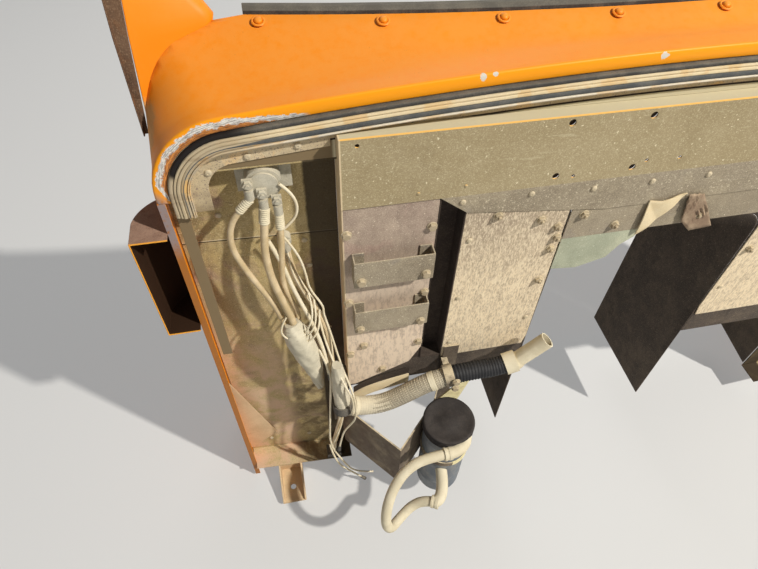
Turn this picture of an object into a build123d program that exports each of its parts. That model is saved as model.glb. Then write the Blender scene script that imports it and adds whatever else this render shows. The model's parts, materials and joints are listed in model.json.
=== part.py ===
from build123d import *
import math
import os

# Front end of a truck's cab, seen from the engine side: painted cowl, folded
# steel firewall, side air inlets with their doors, cab mounts and the wiring.
# Millimetres, +Z up, the truck drives towards -Y, +X is its left side.
# The shapes are drawn from the firewall's front face, y = 0, and moved at the
# end so that the line through the two cab mount holes is the origin.

# Overall
HALF_WIDTH = 1052.0
CROWN_TOP = 1385.0
CROWN_RADIUS = 9000.0
SHOULDER_RADIUS = 145.0
SKIN = 3.0
SEAT = 0.3
REAR_Y = 330.0
MOUNT_HOLE_Y = -45.0
BEYOND = 3 * HALF_WIDTH

# Cowl panel over the engine bay
LIP_Y = 22.0
LIP_HEIGHT = 24.0
SILL_Z = 1400.0
SILL_CENTRE_Y = 134.0
SILL_SWEEP = 74.0
SILL_FLANGE = 32.0
SILL_RETURN = 16.0
CORNER_WIDTH = 192.0
SEAM_RISE = 1.7
CORNER_DEPTH = SHOULDER_RADIUS - SEAM_RISE
PANEL_END_X = HALF_WIDTH - CORNER_WIDTH
PANEL_STATIONS = (-PANEL_END_X, -PANEL_END_X / 2, 0, PANEL_END_X / 2, PANEL_END_X)
PILLAR_RISE = 80.0
PILLAR_TOP_Z = SILL_Z + PILLAR_RISE

# Firewall
BOX_HALF = 735.0
BOX_TOP_Z = 1290.0
BAND_BOTTOM_Z = 1138.0
LEDGE_DEPTH = LIP_Y + 3 * SKIN + 2 * SEAT
RECESS_Y = 60.0
PLENUM_DROP = 55.0
RECESS_SWEEP = 0.045
PANEL_BOTTOM_Z = 77.0
FLANGE_DEPTH = 70.0
TOE_TOP_Z = 500.0
TOE_LAP_Z = 588.0
FLOOR_Z = 140.0

# Step panel, slot channel and cover panel, from the box edge inwards
STEP_INNER_X = 545.0
STEP_BOTTOM_Z = 510.0
STEP_CUT_Z = 641.0
SLOT_INNER_X = 487.0
SLOT_DEPTH = 42.0
COVER_INNER_X = 255.0
COVER_BOTTOM_Z = 580.0
SLOT_BOTTOM_Z = 590.0
STRIP_BOTTOM_Z = 1054.0
STRIP_END_Z = 1092.0
TUNNEL_TOP_Z = 975.0
TUNNEL_REAR_Z = 720.0
TUNNEL_FLANGE = 26.0

# Holes left open in the band
BAND_HOLES = (
    # x, height, radius
    (-320.0, 1278.0, 7.0),
    (-162.0, 1276.0, 7.0),
    (-320.0, 1160.0, 7.0),
    (-161.0, 1160.0, 7.0),
    (-283.0, 1155.0, 4.0),
    (-135.0, 1173.0, 4.0),
    (-63.0, 1171.0, 4.0),
    (-704.0, 1277.0, 4.0),
)

# Strap brackets on the step panel
STRAP_STANDOFF = 28.0
STRAP_HEIGHT = 74.0
STRAP_FOOT = 26.0
STRAP_CENTRES_Z = (980.0, 821.0)

# Side skin, air scoop and its door
SKIN_TOP_Z = CROWN_TOP - CROWN_RADIUS + math.sqrt(CROWN_RADIUS**2 - HALF_WIDTH**2) - CORNER_DEPTH
RETURN_WIDTH = 14.0
SCOOP_OUT = 68.0
SCOOP_FRONT_Y = 5.0
SCOOP_REAR_Y = 132.0
SCOOP_BOTTOM_Z = 830.0
SCOOP_TOP_Z = 1110.0
VENT_FRONT_Y = 90.0
VENT_REAR_Y = 122.0
VENT_BOTTOM_Z = 850.0
VENT_TOP_Z = 1085.0
DOOR_THICKNESS = 3.0
DOOR_LAP = 7.0
PIN_RADIUS = 2.5
PIN_CLEARANCE = 0.3
KNUCKLE_WALL = 2.0
KNUCKLES = 5

# Corner brace between side skin and outboard panel
GUSSET_PLATE = 2.5
GUSSET_REACH = 91.0
GUSSET_TOP_Z = 600.0
GUSSET_KNEE_Z = 180.0

# Hinge pillar
PILLAR_WIDTH = 80.0
PILLAR_DEPTH = 80.0
HINGE_HOLE_RADIUS = 5.5
HINGE_SPACING_Y = 40.0
HINGE_SPACING_Z = 60.0
HINGE_CENTRES_Z = (260.0, 1020.0)

# Cab mounts
MOUNT_X = 935.0
MOUNT_HOLE_RADIUS = 9.0
MOUNT_WIDTH = 74.0
MOUNT_FRONT_Y = -95.0
MOUNT_PLATE = 5.0

# Hood seal, each band given as inset from the outer arch and as depth
SEAL_WEB = (24.0, 62.0)
SHOULDER_WEB = (24.0, 92.0)
SEAL_RIBS = ((40.0, 46.0, 12.0), (57.0, 62.0, 9.0))
SEAL_RUBBERS = ((26.5, 39.5, 13.0), (46.5, 56.5, 8.0))
SEAL_FOOT_Z = 1150.0
SEAL_LEG_Z = SCOOP_BOTTOM_Z - 130.0


def put(shape, name):
    """Moves a shape to the mounts' frame and writes it."""
    moved = Pos(0, -MOUNT_HOLE_Y, 0) * shape
    moved.label = name
    export_step(moved, f"parts/{name}.step")


def both(shape, name):
    """Writes the truck's right-hand piece and its mirror image."""
    put(shape, f"{name}_right")
    put(mirror(shape, about=Plane.YZ), f"{name}_left")


def pair(shape):
    """A piece and its mirror image as one node's two solids."""
    return Compound([shape, mirror(shape, about=Plane.YZ)])


def block(x, y, z):
    """A box from three pairs of limits."""
    size = [abs(high - low) for low, high in (x, y, z)]
    centre = [(low + high) / 2 for low, high in (x, y, z)]
    return Pos(*centre) * Box(*size)


def rod(start, end, radius):
    """A round bar between two points."""
    start, end = Vector(start), Vector(end)
    plane = Plane(origin=(start + end) * 0.5, z_dir=end - start)
    return plane * Cylinder(radius, (end - start).length)


def slab(face, y_front, y_rear):
    """Extrudes a face drawn in x and z between two depths."""
    plane = Plane.XZ.offset(-y_front)
    return extrude(plane * face, amount=-(y_rear - y_front))


def outline(points):
    return make_face(Polyline(*points, close=True))


def arch(inset, foot=0.0):
    """The cab's crowned outline, moved inwards by an inset."""
    half = HALF_WIDTH - inset
    top = CROWN_TOP - inset
    tall = Pos(0, (foot + top + 50) / 2) * Rectangle(2 * half, top + 50 - foot)
    crown = Pos(0, top - CROWN_RADIUS) * Circle(CROWN_RADIUS)
    face = tall & crown
    corners = face.vertices().group_by(Axis.Y)[-1]
    return fillet(corners, SHOULDER_RADIUS - inset)


def arch_band(inset_out, inset_in, foot, y_front, y_rear):
    """A strip that follows the arch, open at its feet."""
    band = arch(inset_out) - arch(inset_in)
    strip = slab(band, y_front, y_rear)
    keep = block((-BEYOND, BEYOND), (y_front - 1, y_rear + 1), (foot, BEYOND))
    return strip & keep


def crown_z(x):
    return CROWN_TOP - CROWN_RADIUS + math.sqrt(CROWN_RADIUS**2 - x**2)


def sill_y(x):
    return SILL_CENTRE_Y + SILL_SWEEP * (x / PANEL_END_X) ** 2


def cowl_section(x):
    """Section of the cowl panel at x: lip, shelf, concave rise and sill flange."""
    top = crown_z(x)
    bend = sill_y(x) - 18.0
    rim = bend + SILL_FLANGE
    points = [
        (LIP_Y, top - LIP_HEIGHT),
        (LIP_Y, top),
        (LIP_Y + 40, top + 1),
        (bend, SILL_Z - 7),
        (rim, SILL_Z + 4),
        (rim, SILL_Z + 4 - SILL_RETURN),
        (rim - SKIN, SILL_Z + 4 - SILL_RETURN),
        (rim - SKIN, SILL_Z + 4 - SKIN * 1.2),
        (bend, SILL_Z - 7 - SKIN),
        (LIP_Y + 40, top + 1 - SKIN),
        (LIP_Y + SKIN, top - SKIN),
        (LIP_Y + SKIN, top - LIP_HEIGHT),
    ]
    wire = Polyline(*[(x, y, z) for y, z in points], close=True)
    return make_face(wire)


def cowl_panel():
    return loft([cowl_section(x) for x in PANEL_STATIONS])


def corner_face(wall, top, radius):
    """The cowl corner's outline in x and z, drawn in by a wall."""
    drop = crown_z(PANEL_END_X) - crown_z(HALF_WIDTH)
    side = -HALF_WIDTH + wall
    face = outline([(-PANEL_END_X, top - wall), (side, top - drop - wall), (side, SKIN_TOP_Z),
                    (-PANEL_END_X, SKIN_TOP_Z)])
    shoulder = face.vertices().sort_by_distance((side, top - drop - wall))[0]
    return fillet(shoulder, radius - wall)


def corner_solid(wall):
    """Filled corner of the cowl, lofted from front to rear."""
    bend = sill_y(PANEL_END_X) - 18.0
    crown = crown_z(PANEL_END_X)
    stations = (
        # depth, height of the top, shoulder radius
        (LIP_Y, crown, SHOULDER_RADIUS),
        (LIP_Y + 40, crown + 1, SHOULDER_RADIUS - 5),
        (bend, SILL_Z - 7, 90.0),
        (bend + SILL_FLANGE, SILL_Z + 4, 70.0),
    )
    sections = [Plane.XZ.offset(-y) * corner_face(wall, top, radius) for y, top, radius in stations]
    return loft(sections, ruled=True)


PILLAR_SECTIONS = (
    # height, then the plan's corners from the cab's side: outer front, inner front, inner, rear
    (SKIN_TOP_Z, ((0, 112), (67, 150), (77, 222), (87, REAR_Y), (0, REAR_Y))),
    (SILL_Z + 4, ((8, 176), (152, 222), (127, 275), (107, REAR_Y), (2, REAR_Y))),
    (PILLAR_TOP_Z, ((14, 197), (87, 240), (94, 285), (97, REAR_Y), (8, REAR_Y))),
)


def pillar_solid(wall):
    """The windshield pillar's foot as a ruled loft, drawn in by a wall."""
    sections = []
    for z, corners in PILLAR_SECTIONS:
        face = outline([(inwards - HALF_WIDTH, y) for inwards, y in corners])
        if wall:
            face = offset(face, -wall, kind=Kind.INTERSECTION)
        sections.append(Pos(0, 0, z) * face)
    return loft(sections, ruled=True)


def pillar_foot():
    return pillar_solid(0) - pillar_solid(SKIN)


def cowl_corner():
    skin = corner_solid(0) - corner_solid(SKIN)
    crown = crown_z(PANEL_END_X)
    lip = corner_face(1, crown, SHOULDER_RADIUS) - corner_face(LIP_HEIGHT, crown, SHOULDER_RADIUS)
    lip = slab(lip, LIP_Y, LIP_Y + SKIN)
    return skin + lip - pillar_solid(0)


RAIL_SECTIONS = (
    # height, then the gutter's inner edge from the cab's side, its depth and its width
    (SKIN_TOP_Z + 70, 0.0, 132.0, 5.0),
    (SILL_Z + 4, 8.0, 176.0, 20.0),
    (PILLAR_TOP_Z, 14.0, 197.0, 26.0),
)


def drip_rail():
    """Folded gutter down the pillar's outer edge, tapered to nothing."""
    sections = []
    for z, inwards, y, width in RAIL_SECTIONS:
        x = inwards - HALF_WIDTH - SEAT
        points = [(x, y), (x - width, y), (x - width, y - 8), (x - width - 2.5, y - 8),
                  (x - width - 2.5, y + 2.5), (x, y + 2.5)]
        sections.append(Pos(0, 0, z) * outline(points))
    return loft(sections, ruled=True)


def gasket():
    """Rubber glazing channel behind the sill's rim."""
    sections = []
    for x in PANEL_STATIONS:
        rim = sill_y(x) - 18.0 + SILL_FLANGE + 0.6
        points = [(x, rim, SILL_Z - 8), (x, rim, SILL_Z + 10), (x, rim + 8, SILL_Z + 15),
                  (x, rim + 20, SILL_Z + 15), (x, rim + 20, SILL_Z - 8)]
        sections.append(make_face(Polyline(*points, close=True)))
    return loft(sections)


def side_skin():
    """Outer side panel with its folded front edge and the vent opening."""
    panel = block((-HALF_WIDTH, -HALF_WIDTH + SKIN), (LIP_Y, REAR_Y), (0, SKIN_TOP_Z))
    edge = block((-HALF_WIDTH, -HALF_WIDTH + RETURN_WIDTH), (LIP_Y, LIP_Y + SKIN), (0, SKIN_TOP_Z))
    wall = (-HALF_WIDTH - 1, -HALF_WIDTH + SKIN + 1)
    vent = block(wall, (VENT_FRONT_Y, VENT_REAR_Y), (VENT_BOTTOM_Z, VENT_TOP_Z))
    return panel + edge - vent + vent_hinge()


def scoop():
    """Air scoop outside the skin: open in front, tapered to the skin behind."""
    face_x = -HALF_WIDTH - SEAT

    def plan(wall):
        out = face_x - SCOOP_OUT + wall
        rear = SCOOP_REAR_Y - wall * 1.5
        front = SCOOP_FRONT_Y - (1 if wall else 0)
        straight = Polyline((face_x, rear), (face_x, front), (out, front), (out, 60))
        bend = ThreePointArc((out, 60), (out + 0.4 * SCOOP_OUT, rear - 22), (face_x, rear))
        return make_face(straight + bend)

    shell = extrude(Pos(0, 0, SCOOP_BOTTOM_Z) * plan(0), SCOOP_TOP_Z - SCOOP_BOTTOM_Z)
    air = extrude(Pos(0, 0, SCOOP_BOTTOM_Z + SKIN) * plan(2.5), SCOOP_TOP_Z - SCOOP_BOTTOM_Z - 2 * SKIN)
    return shell - air


def knuckle_span(index, low, high):
    """Height limits of one hinge knuckle out of an evenly shared barrel."""
    pitch = (high - low) / KNUCKLES
    gap = 0.5
    return low + index * pitch + gap, low + (index + 1) * pitch - gap


def vent_door():
    """Flap over the vent opening, hinged at its rear edge, with a pull knob."""
    low = VENT_BOTTOM_Z - DOOR_LAP
    high = VENT_TOP_Z + DOOR_LAP
    outer = -HALF_WIDTH + SKIN + 0.5
    pin_x, pin_y = hinge_pin()
    barrel = PIN_RADIUS + PIN_CLEARANCE + KNUCKLE_WALL
    plate = block((outer, outer + DOOR_THICKNESS), (VENT_FRONT_Y - 5, pin_y - barrel - 1), (low, high))
    for index in (1, 3):
        start, end = knuckle_span(index, low, high)
        tube = Cylinder(barrel, end - start)
        web = block((outer - pin_x, DOOR_THICKNESS + outer - pin_x), (-barrel - 2, 0),
                    (-(end - start) / 2, (end - start) / 2))
        leaf = (tube + web) - Cylinder(PIN_RADIUS + PIN_CLEARANCE, end - start + 1)
        plate += Pos(pin_x, pin_y, (start + end) / 2) * leaf
    knob_y = VENT_FRONT_Y + 8
    knob_z = (VENT_BOTTOM_Z + VENT_TOP_Z) / 2
    stem = Pos(outer + DOOR_THICKNESS + 6, knob_y, knob_z) * Rot(0, 90, 0) * Cylinder(3, 12)
    head = Pos(outer + DOOR_THICKNESS + 14, knob_y, knob_z) * Rot(0, 90, 0) * Cylinder(9, 7)
    return plate + stem + head


def hinge_pin():
    barrel = PIN_RADIUS + PIN_CLEARANCE + KNUCKLE_WALL
    return -HALF_WIDTH + SKIN + SEAT + barrel + 1.5, VENT_REAR_Y + 14


def vent_hinge():
    """Leaf welded inside the side skin, with its knuckles and the hinge pin."""
    low = VENT_BOTTOM_Z - DOOR_LAP
    high = VENT_TOP_Z + DOOR_LAP
    pin_x, pin_y = hinge_pin()
    barrel = PIN_RADIUS + PIN_CLEARANCE + KNUCKLE_WALL
    wall = -HALF_WIDTH + SKIN
    leaf = block((wall, wall + 2), (pin_y + barrel + 0.6, pin_y + 30), (low, high))
    for index in (0, 2, 4):
        start, end = knuckle_span(index, low, high)
        tube = Pos(pin_x, pin_y, (start + end) / 2) * Cylinder(barrel, end - start)
        web = block((wall, wall + 2), (pin_y, pin_y + barrel + 1), (start, end))
        leaf += tube + web
    pin = Pos(pin_x, pin_y, (low + high) / 2) * Cylinder(PIN_RADIUS, high - low)
    return leaf + pin


def hinge_pillar():
    """Hollow door post with two four-hole door hinge patterns in its rear face."""
    x = (-HALF_WIDTH + SKIN + SEAT, -HALF_WIDTH + SKIN + SEAT + PILLAR_WIDTH)
    y = (REAR_Y - PILLAR_DEPTH, REAR_Y)
    post = block(x, y, (0, SKIN_TOP_Z - SEAT))
    post -= block((x[0] + SKIN, x[1] - SKIN), (y[0] + SKIN, y[1] - SKIN), (-1, SKIN_TOP_Z))
    centre_x = (x[0] + x[1]) / 2
    for centre_z in HINGE_CENTRES_Z:
        for dx in (-HINGE_SPACING_Y / 2, HINGE_SPACING_Y / 2):
            for dz in (-HINGE_SPACING_Z / 2, HINGE_SPACING_Z / 2):
                hole = Pos(centre_x + dx, REAR_Y, centre_z + dz) * Rot(90, 0, 0)
                post -= hole * Cylinder(HINGE_HOLE_RADIUS, 10)
    return post


def seal_rail():
    """Rolled steel channel under the lip that carries the hood's rubber seals."""
    y_rear = LIP_Y + SKIN + SEAT + SKIN
    middle = arch(SEAL_WEB[1]) & Pos(0, SEAL_FOOT_Z) * Rectangle(2 * BOX_HALF + 20, 2 * BEYOND)
    rail = slab(arch(SEAL_WEB[0]) - arch(SHOULDER_WEB[1]) - middle, y_rear - SKIN, y_rear)
    rail = rail & block((-BEYOND, BEYOND), (0, BEYOND), (SEAL_FOOT_Z, BEYOND))
    for out, inner, proud in SEAL_RIBS:
        rail += arch_band(out, inner, SEAL_FOOT_Z, y_rear - SKIN - proud, y_rear - SKIN / 2)
    side = (-HALF_WIDTH + 24, -HALF_WIDTH + 46)
    leg = block(side, (y_rear - SKIN, y_rear), (SEAL_LEG_Z, SEAL_FOOT_Z))
    return rail + leg + mirror(leg, about=Plane.YZ)


def seal_rubber(index):
    out, inner, proud = SEAL_RUBBERS[index]
    y_rear = LIP_Y + SKIN
    return arch_band(out, inner, SEAL_FOOT_Z, y_rear - proud, y_rear)


def plenum_panel():
    """Upright plate that closes the cowl's underside behind the seal rail."""
    y_front = LIP_Y + 2 * SKIN + 2 * SEAT
    plate = slab(arch(2 * SKIN), y_front, y_front + SKIN)
    plate = plate & block((-BEYOND, BEYOND), (0, BEYOND), (BOX_TOP_Z - PLENUM_DROP, BEYOND))
    return plate - block((-BOX_HALF - SEAT, BOX_HALF + SEAT), (0, BEYOND), (0, BOX_TOP_Z + SEAT))


def firewall_box():
    """Raised upper box: top ledge, olive front band and side walls."""
    band = slab(outline([(-BOX_HALF, BAND_BOTTOM_Z), (BOX_HALF, BAND_BOTTOM_Z),
                         (BOX_HALF, BOX_TOP_Z), (-BOX_HALF, BOX_TOP_Z)]), -SKIN, 0)
    ledge = block((-BOX_HALF, BOX_HALF), (-SKIN, LEDGE_DEPTH), (BOX_TOP_Z - SKIN, BOX_TOP_Z))
    shape = band + ledge
    for x in (-BOX_HALF, BOX_HALF - SKIN):
        shape += block((x, x + SKIN), (-SKIN, RECESS_Y - SEAT), (BAND_BOTTOM_Z, BOX_TOP_Z))
    for x, z, radius in BAND_HOLES:
        shape -= rod((x, -2 * SKIN, z), (x, SKIN, z), radius)
    return shape


def recess_y(x):
    return RECESS_Y + RECESS_SWEEP * (abs(x) - BOX_HALF)


def outer_panel():
    """Recessed outboard firewall panel, folded forward at its foot and its top."""
    inner = -BOX_HALF
    outer = -HALF_WIDTH + SKIN + SEAT
    return_x = -HALF_WIDTH + RETURN_WIDTH + SEAT
    sheet = [(inner, recess_y(inner)), (outer, recess_y(outer)),
             (outer, recess_y(outer) + SKIN), (inner, recess_y(inner) + SKIN)]
    top = BOX_TOP_Z - PLENUM_DROP - SEAT
    shape = extrude(Pos(0, 0, PANEL_BOTTOM_Z) * outline(sheet), top - PANEL_BOTTOM_Z)
    foot = [(inner, recess_y(inner)), (outer, recess_y(outer)),
            (outer, LIP_Y + SKIN + SEAT), (return_x, LIP_Y + SKIN + SEAT),
            (return_x, recess_y(outer) - FLANGE_DEPTH), (inner, recess_y(inner) - FLANGE_DEPTH)]
    shape += extrude(Pos(0, 0, PANEL_BOTTOM_Z) * outline(foot), SKIN)
    shape += block((outer, inner), (LIP_Y + 2 * SKIN + 2 * SEAT, recess_y(outer) + SKIN), (top - SKIN, top))
    return shape & slab(arch(2 * SKIN), -BEYOND, BEYOND)


def step_panel():
    """Panel behind the strap brackets, folded back at its outer edge."""
    panel = slab(outline([
        (-BOX_HALF, BAND_BOTTOM_Z - SEAT),
        (-STEP_INNER_X, BAND_BOTTOM_Z - SEAT),
        (-STEP_INNER_X, STEP_CUT_Z),
        (-STEP_INNER_X - 28, STEP_CUT_Z - 61),
        (-BOX_HALF + 20, STEP_BOTTOM_Z),
        (-BOX_HALF, STEP_BOTTOM_Z),
    ]), 0, SKIN)
    return panel + block((-BOX_HALF, -BOX_HALF + SKIN), (0, RECESS_Y - SEAT),
                         (STEP_BOTTOM_Z, BAND_BOTTOM_Z - SEAT))


def strap_brackets():
    """Two bent straps that stand off the step panel."""
    shape = None
    for z in STRAP_CENTRES_Z:
        half = STRAP_HEIGHT / 2
        low, high = -718.0, -550.0
        web = block((low, high), (-STRAP_STANDOFF - SKIN, -STRAP_STANDOFF), (z - half, z + half))
        piece = web
        for x in (low, high - SKIN):
            piece += block((x, x + SKIN), (-STRAP_STANDOFF, -SEAT), (z - half, z + half))
        foot_right = block((low + SKIN, low + STRAP_FOOT), (-SEAT - SKIN, -SEAT), (z - half, z + half))
        foot_left = block((high - STRAP_FOOT, high - SKIN), (-SEAT - SKIN, -SEAT), (z - half, z + half))
        piece += foot_right + foot_left
        shape = piece if shape is None else shape + piece
    return shape


def slot_channel():
    """Deep pressed channel between the step panel and the cover panel."""
    x = (-STEP_INNER_X + SEAT, -SLOT_INNER_X - SEAT)
    z = (SLOT_BOTTOM_Z, BAND_BOTTOM_Z - SEAT)
    body = block(x, (0, SLOT_DEPTH), z)
    return body - block((x[0] + SKIN, x[1] - SKIN), (-1, SLOT_DEPTH - SKIN), (z[0] - 1, z[1] - SKIN))


def cover_panel():
    """Textured cover panel beside the engine tunnel, its edges leaning inwards."""
    return slab(outline([
        (-SLOT_INNER_X, BAND_BOTTOM_Z - SEAT),
        (-COVER_INNER_X - 6, BAND_BOTTOM_Z - SEAT),
        (-COVER_INNER_X, COVER_BOTTOM_Z + 40),
        (-COVER_INNER_X - 6, COVER_BOTTOM_Z),
        (-SLOT_INNER_X, COVER_BOTTOM_Z),
    ]), 0, SKIN)


def cover_strip():
    """Overlap strip screwed on under the band, deeper at the middle."""
    return slab(outline([
        (-STEP_INNER_X, BAND_BOTTOM_Z - SEAT),
        (STEP_INNER_X, BAND_BOTTOM_Z - SEAT),
        (SLOT_INNER_X, STRIP_END_Z),
        (180, STRIP_BOTTOM_Z),
        (-180, STRIP_BOTTOM_Z),
        (-SLOT_INNER_X, STRIP_END_Z),
    ]), -SKIN, -SEAT)


def tunnel_plate():
    """Plate over the tunnel's mouth, between the two cover panels."""
    edge = COVER_INNER_X - SEAT
    return slab(outline([
        (-edge, BAND_BOTTOM_Z - SEAT),
        (edge, BAND_BOTTOM_Z - SEAT),
        (edge, TUNNEL_TOP_Z),
        (-edge, TUNNEL_TOP_Z),
    ]), 0, SKIN)


def tunnel():
    """Engine tunnel: an open-bottomed duct that runs back into the cab."""
    def shell(wall):
        half = COVER_INNER_X - SEAT - wall
        front = outline([(-half, FLOOR_Z), (half, FLOOR_Z), (half, TUNNEL_TOP_Z - wall - SEAT),
                         (-half, TUNNEL_TOP_Z - wall - SEAT)])
        front = fillet(front.vertices().group_by(Axis.Y)[-1], 60 - wall)
        back = outline([(-half, FLOOR_Z), (half, FLOOR_Z), (half, TUNNEL_REAR_Z - wall),
                        (-half, TUNNEL_REAR_Z - wall)])
        back = fillet(back.vertices().group_by(Axis.Y)[-1], 60 - wall)
        return loft([Plane.XZ.offset(-SKIN - SEAT) * front, Plane.XZ.offset(-REAR_Y) * back], ruled=True)

    duct = shell(0) - shell(SKIN)
    opening = block((-COVER_INNER_X + SKIN + 1, COVER_INNER_X - SKIN - 1), (-1, REAR_Y + 1), (0, FLOOR_Z + 1))
    return duct - opening


def toe_board():
    """Sloping toe board with its floor flange and the web at its outer edge."""
    inner = -COVER_INNER_X - SEAT
    outer = -BOX_HALF + SKIN + SEAT
    front = SKIN + SEAT
    slope_end = REAR_Y - 70
    board = [
        (front, TOE_LAP_Z), (front, TOE_TOP_Z), (slope_end, FLOOR_Z), (REAR_Y, FLOOR_Z),
        (REAR_Y, FLOOR_Z + SKIN), (slope_end + 2, FLOOR_Z + SKIN),
        (front + SKIN, TOE_TOP_Z + SKIN), (front + SKIN, TOE_LAP_Z),
    ]
    web = [
        (front, TOE_LAP_Z), (front, TOE_TOP_Z), (RECESS_Y + SKIN + SEAT, STEP_BOTTOM_Z - 150),
        (RECESS_Y + SKIN + SEAT, PANEL_BOTTOM_Z + 20), (REAR_Y, FLOOR_Z), (REAR_Y, FLOOR_Z + 30),
        (RECESS_Y + 40, TOE_LAP_Z),
    ]
    shape = extrude(make_face(Polyline(*[(inner, y, z) for y, z in board], close=True)),
                    amount=inner - outer, dir=(-1, 0, 0))
    shape += extrude(make_face(Polyline(*[(outer, y, z) for y, z in web], close=True)),
                     amount=SKIN, dir=(1, 0, 0))
    return shape


def plate_through(points, thickness):
    """A flat plate through three or more points, thickened to one side."""
    a, b, c = [Vector(*p) for p in points[:3]]
    normal = (b - a).cross(c - a).normalized()
    plane = Plane(origin=a, x_dir=b - a, z_dir=normal)
    flat = [plane.to_local_coords(Vector(*p)) for p in points]
    face = outline([(p.X, p.Y) for p in flat])
    return plane * extrude(face, amount=thickness)


def gusset():
    """Corner brace between the side skin and the outboard panel."""
    outer = -HALF_WIDTH + SKIN + SEAT + 0.1
    rest = GUSSET_PLATE + SEAT + 0.1
    inner = outer + GUSSET_REACH
    foot = PANEL_BOTTOM_Z + SKIN + 12
    corners = [
        (outer, LIP_Y + SKIN + 3, GUSSET_TOP_Z),
        (inner, recess_y(inner) - rest, GUSSET_KNEE_Z),
        (outer, recess_y(outer) - rest, foot),
    ]
    return plate_through(corners, GUSSET_PLATE)


def cab_mount():
    """Bent bracket under the bottom flange, with the cab mount hole in its foot."""
    x = (-MOUNT_X - MOUNT_WIDTH / 2, -MOUNT_X + MOUNT_WIDTH / 2)
    top = PANEL_BOTTOM_Z - SEAT
    foot = block(x, (MOUNT_FRONT_Y, 22), (0, MOUNT_PLATE))
    back = block(x, (22 - MOUNT_PLATE, 22), (0, top))
    lap = block(x, (22 - MOUNT_PLATE, 60), (top - MOUNT_PLATE, top))
    shape = foot + back + lap
    web = [(22 - MOUNT_PLATE, MOUNT_PLATE), (22 - MOUNT_PLATE, top - 4), (MOUNT_FRONT_Y, MOUNT_PLATE + 8),
           (MOUNT_FRONT_Y, MOUNT_PLATE)]
    for side in (x[0], x[1] - MOUNT_PLATE):
        wire = Polyline(*[(side, y, z) for y, z in web], close=True)
        shape += extrude(make_face(wire), amount=MOUNT_PLATE, dir=(1, 0, 0))
    return shape - Pos(-MOUNT_X, MOUNT_HOLE_Y, 0) * Cylinder(MOUNT_HOLE_RADIUS, 40)


# Power terminal on the outboard panel
TERMINAL_X = -868.0
TERMINAL_Z = 1195.0
TERMINAL_REACH = (47.0, 53.0)
TERMINAL_RISE = 70.0
TERMINAL_FRONT_Y = 58.0
LUG_LENGTH = 33.3

# Torn insulation, from the strip's lower edge
FLAPS = (
    # corners of one flap: x, then height over the edge
    ((-2, 20), (-55, 6), (-84, 10), (-81, -90), (-60, -69), (-20, -14)),
    ((4, 16), (40, 12), (109, -92), (54, -98), (20, -64)),
)

# Wiring and plumbing, all on the truck's right side
CABLES = (
    # name, radius, then the route's points from the terminal block down
    ("outer", 6.5, ((-894, 17, 1173.7), (-921, 13, 1150), (-942, 9, 1112), (-944, 6, 1064),
        (-930, 4, 1012), (-911, 0, 960), (-888, -5, 905), (-872, -8, 835))),
    ("middle", 8.0, ((-872, 17, 1149.7), (-879, 9, 1104), (-886, 2, 1048), (-882, -6, 985),
        (-868, -12, 915), (-850, -16, 835))),
    ("inner", 6.5, ((-848, 17, 1131.7), (-849, 9, 1086), (-856, 3, 1022), (-862, 1, 958),
        (-853, 6, 900), (-838, 10, 835))),
    ("trunk", 8.0, ((-846, 44, 1022), (-842, 37, 965), (-824, 24, 905), (-798, 12, 845),
        (-782, 2, 780), (-777, -5, 715), (-776, -10, 645), (-766, -14, 580),
        (-758, -18, 515), (-757, -24, 450), (-764, -30, 385), (-776, -32, 320),
        (-786, -26, 250), (-790, -8, 180), (-790, 13, 100))),
)
BOOTS = (
    # axis and radius at the top, then at the lower end
    ((-848, -12, 850), 40.0, (-812, -14, 550), 16.0),
    ((-768, -56, 704), 15.0, (-761, -60, 530), 21.0),
)
RING_ENDS = ((-761, -60, 532), (-760, -60, 496))
RING_RADIUS = 25.0
CONDUIT_RADIUS = 25.0
CONDUIT_ROUTE = ((-745, -55, 498), (-700, -52, 478), (-650, -52, 474), (-596, -54, 506), (-540, -54, 546),
        (-478, -54, 566), (-410, -54, 572), (-350, -56, 572), (-304, -56, 588))
CLAMP_INDEX = 5
OUTLET_RADIUS = 21.0
OUTLET_BORE = 17.0
OUTLET_ENDS = ((-304, -56, 588), (-232, -58, 668))
HOSE_RADIUS = 14.0
HOSE_ROUTE = ((-500, -206, 432), (-556, -206, 430), (-608, -214, 420), (-654, -242, 394), (-684, -280, 350),
        (-692, -308, 294), (-676, -306, 240), (-642, -274, 214), (-602, -250, 226), (-566, -252, 252),
        (-534, -268, 262))
COLLAR_RADIUS = 18.0
PORTS = (
    # elbow of the port at each end of the hose, and the place where it meets the canister
    ((-446, -206, 432), (-446, -150, 432)),
    ((-512, -280, 264), (-500, -160, 270)),
)
CANISTER_X = -484.0
CANISTER_Y = -124.0
CANISTER_RADIUS = 64.0
CANISTER_BOTTOM_Z = 110.0
CANISTER_TOP_Z = 432.0
CAP_RADIUS = 70.0
CAP_RIBS = 4
CAP_RIB_HEIGHT = 10.0
STANDOFF_PLAN = ((-775, 58.6), (-751, 58.6), (-751, -14), (-625, -168), (-498, -40), (-480, -4))
STANDOFF_Z = (215.0, 420.0)
STANDOFF_PLATE = 4.0
UPRIGHT_Z = (340.0, 625.0)
LEAF = ((-381, 468), (-407, 452), (-475, 353), (-475, 290), (-425, 309), (-409, 350), (-394, 412))
LEAF_HOLE = (-427, 401)
LEAF_HOLE_RADIUS = 4.0
BAND_HEIGHT = 18.0


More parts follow.
